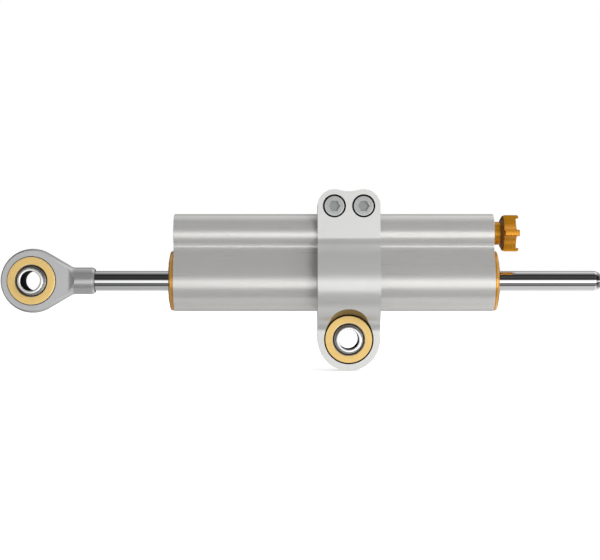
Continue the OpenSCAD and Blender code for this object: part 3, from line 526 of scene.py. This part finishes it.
def makeGland(name, side, node):
    faceAt, flangeEnd, hole = gland["faceAt"], gland["flangeEnd"], gland["hole"]
    rimAt = flangeEnd - gland["rim"]
    outside = [(faceAt, gland["wiper"]), (faceAt, gland["face"]), (rimAt, gland["flange"]),
               (flangeEnd, gland["flange"]), (flangeEnd, gland["spigot"]),
               (gland["ringFrom"], gland["spigot"]), (gland["ringFrom"], gland["ringFloor"]),
               (gland["ringTo"], gland["ringFloor"]), (gland["ringTo"], gland["spigot"]),
               (gland["spigotEnd"], gland["spigot"]), (gland["spigotEnd"], gland["nose"]),
               (gland["noseEnd"], gland["nose"])]
    inside = [(gland["noseEnd"], gland["bush"]), (gland["bushFrom"], gland["bush"]),
              (gland["bushFrom"], gland["rodHole"]), (gland["sealEnd"], gland["rodHole"]),
              (gland["sealEnd"], gland["seal"]), (gland["sealFrom"], gland["seal"]),
              (gland["sealFrom"], gland["rodHole"]), (gland["wiperEnd"], gland["rodHole"]),
              (gland["wiperEnd"], gland["wiper"])]
    shape = turned(outside + inside, 128)
    for turn in (45, 135, 225, 315):  # blind holes for a pin spanner
        spot = Vector((0, 0, gland["pitch"]))
        spot.rotate(Matrix.Rotation(math.radians(turn), 3, "X"))
        deep = faceAt + gland["holeDepth"]
        shape = carved(shape, turned([(faceAt - 1, 0), (faceAt - 1, hole), (deep, hole),
                                      (deep + gland["holeTip"], 0)], 24, centre=spot))
    easeEdges(shape, gland["edge"], lambda edge: abs(middleOf(edge).x - rimAt) < within
              and middleOf(edge).yz.length > gland["flange"] - 0.15, segments=5)
    easeEdges(shape, gland["smallEdge"], lambda edge: middleOf(edge).x < faceAt + 0.7
              and 5 < middleOf(edge).yz.length < gland["flange"] - 0.65)
    if side == "right":
        bmesh.ops.scale(shape, verts=shape.verts, vec=(-1, 1, 1))
        bmesh.ops.translate(shape, verts=shape.verts, vec=(tube["left"] + tube["right"], 0, 0))
        bmesh.ops.recalc_face_normals(shape, faces=shape.faces)
    bmesh.ops.translate(shape, verts=shape.verts, vec=(0, 0, mainAxis))
    finishPiece(name, shape, "damper", "gold_anodised", [node])


makeGland("leftGland", "left", "gland_left")
makeGland("rightGland", "right", "gland_right")
print("glands made")


# Piston rod

rod = {"left": -115, "right": 102.6, "radius": 4, "tipLength": 2, "tipDepth": 1, "pistonAt": -0.5,
       "clipStep": 7.55, "clipSlot": 1.1, "clipDepth": 0.6, "edge": 0.6}


def makeRod():
    profile = [(rod["left"], 0), (rod["left"], rod["radius"])]
    for at in (rod["pistonAt"] - rod["clipStep"], rod["pistonAt"] + rod["clipStep"]):
        half, low = rod["clipSlot"] / 2, rod["radius"] - rod["clipDepth"]
        profile += [(at - half, rod["radius"]), (at - half, low),
                    (at + half, low), (at + half, rod["radius"])]
    profile += [(rod["right"] - rod["tipLength"], rod["radius"]),
                (rod["right"], rod["radius"] - rod["tipDepth"]), (rod["right"], 0)]
    shape = turned(profile, 96, centre=(0, 0, mainAxis))
    easeEdges(shape, rod["edge"], lambda edge: middleOf(edge).x > rod["right"] - rod["tipLength"] - 1,
              segments=4, sharpest=20)
    finishPiece("pistonRod", shape, "rod", "chrome_rod", ["piston_rod"])


makeRod()
print("piston rod made")


# Spherical bearings: sleeve, ball and two rings, round the race that stays as the CAD made it

bearing = {"sleeveBore": 4, "sleeve": 5.2, "sleeveHalf": 9, "ball": 7.4, "ballHalf": 4.5, "raceHalf": 3.8,
           "ring": 9.7, "ringBore": 6.55, "fit": 0.02, "edge": 0.25, "sleeveEdge": 0.15, "ballEdge": 0.1}


def makeBearing(where, centre, bodies, ringOut):
    half, inner, outer = bearing["sleeveHalf"], bearing["sleeveBore"], bearing["sleeve"]
    sleeve = turned([(-half, inner), (-half, outer), (half, outer), (half, inner)], 96, True, centre)
    easeEdges(sleeve, bearing["sleeveEdge"])
    axis = Vector(centre)
    # Painted shade: the sleeve's bore is painted black
    paintShade(sleeve, lambda at: (at - axis).xz.length < inner + 0.05)
    finishPiece(where + "Sleeve", sleeve, bodies[2], "steel_zinc", [where + "_sleeve"])

    half, ball, hole = bearing["ballHalf"], bearing["ball"], outer + bearing["fit"]
    lean = math.asin(half / ball)
    curve = [(ball * math.sin(lean * (i / 12 - 1)), ball * math.cos(lean * (i / 12 - 1))) for i in range(25)]
    shape = turned([(-half, hole)] + curve + [(half, hole)], 96, True, centre)
    easeEdges(shape, bearing["ballEdge"], sharpest=25)
    finishPiece(where + "Ball", shape, bodies[1], "bearing_steel", [where + "_ball"])

    for side, sign in (("front", -1), ("rear", 1)):
        near, far = sign * bearing["raceHalf"], sign * ringOut
        ring = turned([(near, bearing["ringBore"]), (far, bearing["ringBore"]), (far, bearing["ring"]),
                       (near, bearing["ring"])], 128, True, centre)
        easeEdges(ring, bearing["edge"], lambda edge: abs(middleOf(edge).y) > ringOut - within)
        if where == "clamp":  # painted shade round this ring, where it sits in the relief of the lug
            paintShade(ring, lambda at: (at - axis).xz.length > bearing["ring"] - 0.22
                 and abs(at.y) > ringOut - 0.5)
        finishPiece(where + "Ring" + side.capitalize(), ring, bodies[0], "ring_gold",
                    [where + "_ring_" + side])


makeBearing("rod_end", (eyeCentre, 0, mainAxis), ("rod", "rod_ball", "rod_sleeve"), 5.8)
makeBearing("clamp", (0, 0, 0), ("clamp", "clamp_ball", "clamp_sleeve"), 6.6)
print("bearings made")


# Rod end: turned about the rod's axis, milled flat on both sides, bored for its bearing

eye = {"radius": 13.05, "half": 4.8, "cone": 30.5, "neck": 5.43, "neckLength": 25.4, "fillet": 3,
       "chamfer": 1, "drop": 0.6, "flatTo": 14.7, "runOut": 6, "raceHole": 9.32, "ringHole": 9.98,
       "ringDepth": 1, "socket": 4.02, "socketTip": 11, "socketFloor": 13.1, "runOutShadeFade": 2.7,
       "runOutShadeShare": 0.32, "flatEdge": 0.22, "neckEdge": 0.15}


def rodEndProfile():
    lean = math.radians(eye["cone"])
    normal = Vector((math.sin(lean), math.cos(lean)))
    radius, fillet, neck, length = eye["radius"], eye["fillet"], eye["neck"], eye["neckLength"]
    centre = Vector(((radius + fillet - (neck + fillet) * normal.y) / normal.x, neck + fillet))
    aroundEye = [math.pi - (math.pi / 2 + lean) * i / 48 for i in range(49)]
    aroundFillet = [lean * (1 - i / 10) for i in range(11)]
    profile = [(radius * math.cos(turn), radius * math.sin(turn)) for turn in aroundEye]
    profile += [(centre.x - fillet * math.sin(turn), centre.y - fillet * math.cos(turn))
                for turn in aroundFillet]
    return profile + [(length - eye["chamfer"], neck), (length, neck - eye["drop"]), (length, 0)]


# Waste beside a flat: its underside is level round the eye and rises in an arc towards the neck
def flatWaste(side):
    half, flatTo, runOut, far = eye["half"], eye["flatTo"], eye["runOut"], 20
    shape = startShape()
    start = shape.verts.new((-far, half, 0))
    pen = strokeTo(shape, start, (flatTo, half))
    pen = arcTo(shape, pen, (flatTo, half + runOut), (flatTo + runOut, half + runOut), 32)
    pen = strokeTo(shape, pen, (flatTo + runOut, far))
    pen = strokeTo(shape, pen, (-far, far))
    shape.edges.new((pen, start))
    extruded(shape, 2 * far, mirrored=False)
    bmesh.ops.rotate(shape, verts=shape.verts, matrix=Matrix.Rotation(0 if side > 0 else math.pi, 3, "X"))
    return shape


def makeRodEnd():
    shape = turned(rodEndProfile(), 160)
    for side in (-1, 1):
        shape = carved(shape, flatWaste(side))
    outside, deep, ringHole, socket = 6, eye["half"] - eye["ringDepth"], eye["ringHole"], eye["socket"]
    shape = carved(shape, turned([(-outside, 0), (-outside, ringHole), (-deep, ringHole),
                                  (-deep, eye["raceHole"]), (deep, eye["raceHole"]), (deep, ringHole),
                                  (outside, ringHole), (outside, 0)], 128, True))
    pastNeck = eye["neckLength"] + 0.6
    shape = carved(shape, turned([(eye["socketTip"], 0), (eye["socketFloor"], socket), (pastNeck, socket),
                                  (pastNeck, 0)], 64))
    # Painted shade: the seat of the gold ring, in the gap beside it, is painted black
    paintShade(shape, lambda at: abs(at.y) < eye["half"] - 0.05 and abs(at.xz.length - ringHole) < 0.7)

    def inRunOut(at):  # painted shade on the run-out arc, darker the further it rises from the flat
        along, away = at.x - eye["flatTo"], eye["half"] + eye["runOut"] - abs(at.y)
        onArc = along > 0 and abs(math.hypot(along, away) - eye["runOut"]) < 0.03
        return min(1, along / eye["runOutShadeFade"]) if onArc else 0

    paintShade(shape, inRunOut, eye["runOutShadeShare"])
    # Painted shade: the neck's end face round the rod's socket is painted black
    paintShade(shape, lambda at: at.x > eye["neckLength"] - 0.4 and socket < at.yz.length < eye["neck"] - 0.23)
    easeEdges(shape, eye["flatEdge"],
              lambda edge: all(abs(abs(v.co.y) - eye["half"]) < within for v in edge.verts))
    easeEdges(shape, eye["neckEdge"],
              lambda edge: middleOf(edge).x > eye["neckLength"] - eye["chamfer"] - 0.1, sharpest=25)
    bmesh.ops.translate(shape, verts=shape.verts, vec=(eyeCentre, 0, mainAxis))
    finishPiece("rodEnd", shape, "rod", "rod_end_satin", ["rod_end"])


makeRodEnd()
print("rod end made")


# Clamp

clamp = {"width": 25.3, "bulge": 18.5, "ear": 10.3, "earFillet": 4, "lug": 6.85, "lugFillet": 7.5,
         "lobe": 6.75, "boltRise": 10.8, "valley": 14.6, "slit": 2, "relief": 10, "reliefSlope": 17,
         "reliefReach": 12.8, "reliefShadeAndReflection": 0.45, "fit": 0.03, "edge": 0.35, "ringHole": 10.02,
         "ringSeat": 1.6, "raceHole": 9.32, "headHole": 4.67, "boltHole": 2.7, "threadHole": 2.52,
         "headSeat": -5.2}


def clampSection():
    bulge, ear, lug = clamp["bulge"], clamp["ear"], clamp["lug"]
    earRound, lugRound = clamp["earFillet"], clamp["lugFillet"]
    earCentre = Vector((ear + earRound, math.sqrt((bulge + earRound) ** 2 - (ear + earRound) ** 2)))
    lugCentre = Vector((lug + lugRound, -math.sqrt((bulge + lugRound) ** 2 - (lug + lugRound) ** 2)))
    low, high = -mainAxis - 15, 40
    shape = startShape()
    pen = shape.verts.new((0, low, 0))
    pen = strokeTo(shape, pen, (lug, low))
    pen = strokeTo(shape, pen, (lug, lugCentre.y))
    pen = arcTo(shape, pen, lugCentre, bulge / (bulge + lugRound) * lugCentre, 24, clockwise=True)
    pen = arcTo(shape, pen, (0, 0), bulge / (bulge + earRound) * earCentre, 56)
    pen = arcTo(shape, pen, earCentre, (ear, earCentre.y), 12, clockwise=True)
    pen = strokeTo(shape, pen, (ear, high))
    strokeTo(shape, pen, (0, high))
    return standAlongX(extruded(shape, 40), mainAxis)


def clampFront():
    half, lobe, valley = clamp["width"] / 2, clamp["lobe"], clamp["valley"]
    boltX, boltZ = half - lobe, upperAxis + clamp["boltRise"]
    valleyZ = boltZ + math.sqrt((lobe + valley) ** 2 - boltX ** 2)
    touch = Vector((boltX, boltZ)).lerp(Vector((0, valleyZ)), lobe / (lobe + valley))
    shape = startShape()
    pen = shape.verts.new((0, -half, 0))
    pen = arcTo(shape, pen, (0, 0), (half, 0), 48)
    pen = strokeTo(shape, pen, (half, boltZ))
    pen = arcTo(shape, pen, (boltX, boltZ), touch, 40)
    arcTo(shape, pen, (0, valleyZ), (0, valleyZ - valley), 12, clockwise=True)
    return standAlongY(extruded(shape, 60))


def makeClamp():
    half, boltX, boltZ = clamp["width"] / 2, clamp["width"] / 2 - clamp["lobe"], upperAxis + clamp["boltRise"]
    shape = carved(clampSection(), clampFront(), "INTERSECT")
    shape = carved(shape, standAlongX(extruded(tubeSection(clamp["fit"]), 50), mainAxis))
    slit = startShape()
    pen = strokeTo(slit, slit.verts.new((0, 0, 0)), (clamp["slit"] / 2, 0))
    pen = strokeTo(slit, pen, (clamp["slit"] / 2, 30))
    strokeTo(slit, pen, (0, 30))
    shape = carved(shape, standAlongX(extruded(slit, 50), upperAxis))
    seat, deep, ringHole = clamp["headSeat"], 25, clamp["ringHole"]
    for x in (-boltX, boltX):
        shape = carved(shape, turned([(-deep, 0), (-deep, clamp["headHole"]), (seat, clamp["headHole"]),
                                      (seat, clamp["boltHole"]), (0, clamp["boltHole"]),
                                      (0, clamp["threadHole"]), (deep, clamp["threadHole"]), (deep, 0)],
                                     72, True, (x, 0, boltZ)))
    slope = math.tan(math.radians(clamp["reliefSlope"]))
    wide = clamp["relief"] + (deep - clamp["lug"]) * slope
    face, step = clamp["lug"] - 0.01, clamp["lug"] - clamp["ringSeat"]
    shape = carved(shape, turned([(-deep, 0), (-deep, wide), (-face, ringHole), (-step, ringHole),
                                  (-step, clamp["raceHole"]), (step, clamp["raceHole"]), (step, ringHole),
                                  (face, ringHole), (deep, wide), (deep, 0)], 128, True))

    def onOutline(edge):
        at = middleOf(edge)
        aside = abs(abs(at.x) - half) < 0.02
        onEar = abs(abs(at.y) - clamp["ear"]) < 0.02 and at.z > upperAxis
        onLug = abs(abs(at.y) - clamp["lug"]) < 0.02 and at.z < 2
        inSlit = abs(abs(at.y) - clamp["slit"] / 2) < 0.02 and at.z > boltZ
        return (aside or onEar or onLug or inSlit) and at.xz.length > 9

    def inGap(at):
        nearRing = abs(at.y) < clamp["lug"] - 0.05 and abs(at.xz.length - ringHole) < 0.75
        besideHead = seat - 4.9 < at.y < seat + 0.1
        fromBolt = math.hypot(abs(at.x) - boltX, at.z - boltZ)
        return nearRing or (besideHead and fromBolt < clamp["headHole"] + 0.05)

    def inRelief(at):
        fromLug, away = abs(at.y) - clamp["lug"], at.xz.length
        onCone = abs(fromLug - (away - clamp["relief"]) / slope) < 0.17
        return fromLug > 0.05 and ringHole < away < clamp["reliefReach"] and onCone

    # Painted shade: black in the gaps round the gold ring and the bolt heads; the relief cone above the ring
    # gets a painted, shaded reflection of the ring
    paintShade(shape, inGap)
    paintShade(shape, inRelief, clamp["reliefShadeAndReflection"])
    easeEdges(shape, clamp["edge"], onOutline, segments=3, sharpest=35)
    finishPiece("clampBlock", shape, "clamp", "clamp_anodised", ["clamp"])


makeClamp()
print("clamp made")


# Clamp bolts

bolt = {"head": 4.22, "headHeight": 5, "shank": 2.5, "length": 14, "tip": 2, "tipLength": 0.5,
        "socket": 4, "socketDepth": 1.8, "socketShade": 0.12, "rim": 0.45, "socketEdge": 0.15}


def makeBolt(x):
    boltZ = upperAxis + clamp["boltRise"]
    seat, head, shank = clamp["headSeat"], bolt["head"], bolt["shank"]
    top, end = seat - bolt["headHeight"], seat + bolt["length"]
    floor = top + bolt["socketDepth"]
    corner = bolt["socket"] / math.sqrt(3)
    shape = turned([(top, 0), (top, head), (seat, head), (seat, shank), (end - bolt["tipLength"], shank),
                    (end, bolt["tip"]), (end, 0)], 48, True)
    socket = turned([(top - 1, 0), (top - 1, corner), (floor, corner), (floor, 0)], 6, True)
    bmesh.ops.rotate(socket, verts=socket.verts, matrix=Matrix.Rotation(math.radians(30), 3, "Y"))
    shape = carved(shape, socket)
    easeEdges(shape, bolt["rim"], lambda edge: abs(middleOf(edge).y - top) < within
              and middleOf(edge).xz.length > 3.5, segments=4)
    easeEdges(shape, bolt["socketEdge"], lambda edge: abs(middleOf(edge).y - top) < within
              and middleOf(edge).xz.length < 2.5)
    # Painted shade: black on the head's side where it sits in its counterbore, and a faint shade in the
    # socket
    paintShade(shape, lambda at: at.xz.length > head - 0.25)
    paintShade(shape, lambda at: at.xz.length < 2.5 and at.y > top + 0.2, bolt["socketShade"])
    bmesh.ops.translate(shape, verts=shape.verts, vec=(x, 0, boltZ))
    return shape


def makeBolts():
    boltX = clamp["width"] / 2 - clamp["lobe"]
    both, second = makeBolt(-boltX), makeBolt(boltX)
    other = bpy.data.meshes.new("otherBolt")
    second.to_mesh(other)
    second.free()
    both.from_mesh(other)
    bpy.data.meshes.remove(other)
    finishPiece("clampBolts", both, "clamp", "steel_zinc", ["clamp_bolts"], screwFinish)


makeBolts()
print("clamp bolts made")


# Adjuster knob

knob = {"start": 59.4, "hub": 4.67, "hubEnd": 61.6, "cone": 5.2, "coneEnd": 62.5, "rim": 6.95, "rimEnd": 63.5,
        "radius": 7.4, "scallopFrom": 62.95, "end": 69.2, "ridge": 1.8, "scallop": 8.5, "recess": 6.2,
        "recessFloor": 68.1, "recessFillet": 0.5, "screwHole": 2.7, "screwSeat": 66.9, "bore": 2.4,
        "boreEnd": 65.8, "shankHole": 1.6, "edge": 0.38, "tip": 0.75, "backEdge": 0.15, "coneShade": 0.38}


def makeKnob():
    big, floor, fillet = knob["radius"], knob["recessFloor"], knob["recessFillet"]
    corner = [(floor + fillet * (1 - math.cos(i * math.pi / 10)),
               knob["recess"] - fillet * (1 - math.sin(i * math.pi / 10))) for i in range(5, -1, -1)]
    tip = [(knob["end"] - knob["tip"] * (1 - math.sin(i * math.pi / 12)),
            big - knob["tip"] * (1 - math.cos(i * math.pi / 12))) for i in range(7)]
    back = [(knob["start"], knob["bore"]), (knob["start"], knob["hub"]), (knob["hubEnd"], knob["hub"]),
            (knob["hubEnd"], knob["cone"]), (knob["coneEnd"], knob["rim"]), (knob["rimEnd"], big)]
    hole = [(floor, knob["screwHole"]), (knob["screwSeat"], knob["screwHole"]),
            (knob["boreEnd"], knob["shankHole"]), (knob["boreEnd"], knob["bore"])]
    shape = turned(back + tip + [(knob["end"], knob["recess"])] + corner + hole, 144)
    ridgeTip = math.sqrt(big ** 2 - knob["ridge"] ** 2 / 4)
    reach = ridgeTip + knob["ridge"] / 2
    gap = big ** 2 - knob["scallop"] ** 2
    centre = (reach + math.sqrt(reach ** 2 - 2 * gap)) / 2
    past = knob["end"] + 5.8
    for y, z in ((centre, centre), (-centre, centre), (-centre, -centre), (centre, -centre)):
        shape = carved(shape, turned([(knob["scallopFrom"], 0), (knob["scallopFrom"], knob["scallop"]),
                                      (past, knob["scallop"]), (past, 0)], 192, centre=(0, y, z)))
    easeEdges(shape, knob["edge"], lambda edge: middleOf(edge).x > knob["rimEnd"] - 0.3
              and middleOf(edge).yz.length > 4, sharpest=40)
    easeEdges(shape, knob["backEdge"], lambda edge: middleOf(edge).x < knob["coneEnd"] - 0.1, sharpest=40)
    # Painted shade on the back cone behind the ridges
    paintShade(shape, lambda at: knob["hubEnd"] - 0.05 < at.x < knob["rimEnd"] - 0.1 and at.yz.length > 4.5,
         knob["coneShade"])
    bmesh.ops.translate(shape, verts=shape.verts, vec=(0, 0, upperAxis))
    finishPiece("adjusterKnob", shape, "adjuster", "gold_anodised", ["adjuster_knob"])


makeKnob()
print("knob made")


# The rest of the CAD pieces keep their shapes and get their finishes

for row in frame["record"]["subparts"]:
    node = cadNodes[row["node"]]
    node.data.materials.clear()
    node.data.materials.append(finishes[row["material_slot"]])
print("finishes given")


# Studio: a pale floor, one soft lamp, and a white room with dark gaps that shiny surfaces show

def stageMaterial(name, build):
    made = bpy.data.materials.new(name)
    made.use_nodes = True
    made.node_tree.nodes.clear()
    build(made.node_tree)
    return made


def floorNodes(tree):
    rays = addNode(tree, "LightPath")
    plain = addNode(tree, "BsdfDiffuse", None, {"Color": linearColour("#E8E8E8")}).outputs["BSDF"]
    glow = addNode(tree, "Emission", None, {"Color": linearColour("#FFFFFF"), "Strength": 0.55}).outputs[0]
    seen = addNode(tree, "AddShader", None, {0: plain, 1: glow}).outputs[0]
    shown = addNode(tree, "MixShader", None, {0: rays.outputs["Is Camera Ray"], 1: plain, 2: seen}).outputs[0]
    addNode(tree, "OutputMaterial", None, {"Surface": shown})


def makeFloor():
    shape = bmesh.new()
    bmesh.ops.create_grid(shape, x_segments=1, y_segments=1, size=6)
    mesh = bpy.data.meshes.new("floor")
    shape.to_mesh(mesh)
    shape.free()
    floor = bpy.data.objects.new("floor", mesh)
    floor.location.z = cadLow.z - 0.0001
    mesh.materials.append(stageMaterial("palePaper", floorNodes))
    floor.visible_glossy = False
    scene.collection.objects.link(floor)


# The room as shiny surfaces see it: brightness by the angle in degrees above the way to the front,
# and a share of it by how far the way leads to the left (-1) or to the right (1)
roomRound = [(-180, 0.1), (-150, 0.54), (-120, 0.68), (-95, 0.48), (-75, 0.66), (-58, 0.02), (-46, 0.3),
             (-36, 0.02), (-29, 0.02), (-22, 1.9), (-14, 0.56), (-7, 1.78), (0, 1.04), (7, 0.54),
             (14, 0.02), (42, 0.06), (75, 0.02), (98, 0.4), (120, 0.72), (150, 0.16), (180, 0.1)]
roomAcross = [(-1, 0.7), (-0.75, 0.6), (-0.55, 0.35), (-0.4, 0.15), (-0.1, 0.8), (0, 1), (0.4, 1.5),
              (0.5, 1.3), (0.65, 0.4), (0.85, 0.4), (0.93, 1), (1, 1)]
# Plain light for dull surfaces comes more from the right than from the left
plainAcross = [(-1, 0.15), (0, 0.8), (1, 1.45)]
brightest = 2  # a ramp's colours end at 1, so it holds each level as a share of this one


def levelRamp(tree, place, stops, low, high):
    share = addNode(tree, "MapRange", None, {
        "Value": place, "From Min": low, "From Max": high}).outputs["Result"]
    ramp = addNode(tree, "ValToRGB", None, {"Fac": share})
    for i, (at, level) in enumerate(stops):
        stop = ramp.color_ramp.elements[i] if i < 2 else ramp.color_ramp.elements.new(1)
        stop.position = (at - low) / (high - low)
        stop.color = (level / brightest, level / brightest, level / brightest, 1)
    return ramp.outputs["Color"]


def makeWorld():
    world = bpy.data.worlds.new("whiteRoom")
    scene.world = world
    world.use_nodes = True
    tree = world.node_tree
    tree.nodes.clear()
    way = addNode(tree, "TexCoord").outputs["Generated"]
    parts = addNode(tree, "SeparateXYZ", None, {0: way}).outputs
    front = addNode(tree, "Math", {"operation": "MULTIPLY"}, {0: parts["Y"], 1: -1.0}).outputs[0]
    angle = addNode(tree, "Math", {"operation": "ARCTAN2"}, {0: parts["Z"], 1: front}).outputs[0]
    degrees = addNode(tree, "Math", {"operation": "DEGREES"}, {0: angle}).outputs[0]
    around = levelRamp(tree, degrees, roomRound, -180, 180)
    across = levelRamp(tree, parts["X"], roomAcross, -1, 1)
    share = addNode(tree, "Math", {"operation": "MULTIPLY"}, {0: around, 1: across}).outputs[0]
    shiny = addNode(tree, "Math", {"operation": "MULTIPLY"}, {0: share, 1: brightest ** 2}).outputs[0]
    part = levelRamp(tree, parts["X"], plainAcross, -1, 1)
    plain = addNode(tree, "Math", {"operation": "MULTIPLY"}, {0: part, 1: brightest}).outputs[0]
    rays = addNode(tree, "LightPath").outputs
    level = addNode(tree, "Mix", {"data_type": "FLOAT"}, {
        0: rays["Is Glossy Ray"], 2: plain, 3: shiny}).outputs[0]
    clear = addNode(tree, "Math", {"operation": "MAXIMUM"}, {
        0: rays["Is Camera Ray"], 1: rays["Is Transmission Ray"]}).outputs[0]
    seen = addNode(tree, "Mix", {"data_type": "FLOAT"}, {0: clear, 2: level, 3: 1.0}).outputs[0]
    sky = addNode(tree, "Background", None, {"Color": linearColour("#FFFFFF"), "Strength": seen}).outputs[0]
    addNode(tree, "OutputWorld", None, {"Surface": sky})


# The front lamp hangs high on the right; places and sizes of lamp and camera are in metres
frontLamp = {"place": (0.5, -1.0, 0.32), "target": (0, 0, 0.02), "size": 0.5, "watts": 6.4}


def makeLamp():
    data = bpy.data.lights.new("frontLamp", "AREA")
    data.shape = "SQUARE"
    data.size = frontLamp["size"]
    data.energy = frontLamp["watts"]
    lamp = bpy.data.objects.new("frontLamp", data)
    place, target = Vector(frontLamp["place"]), Vector(frontLamp["target"])
    lamp.location = place
    lamp.rotation_euler = (target - place).to_track_quat("-Z", "Y").to_euler()
    lamp.visible_glossy = False
    scene.collection.objects.link(lamp)


lookFrom = {"place": (-0.01976, -0.7755, 0.02408), "lens": 114, "sensor": 36}  # level, straight to the back


def makeCamera():
    data = bpy.data.cameras.new("camera")
    data.lens = lookFrom["lens"]
    data.sensor_width = lookFrom["sensor"]
    camera = bpy.data.objects.new("camera", data)
    camera.location = lookFrom["place"]
    camera.rotation_euler = (math.radians(90), 0, 0)
    scene.collection.objects.link(camera)
    scene.camera = camera


scene.view_settings.view_transform = "Standard"
makeFloor()
makeWorld()
makeLamp()
makeCamera()
print("studio made")
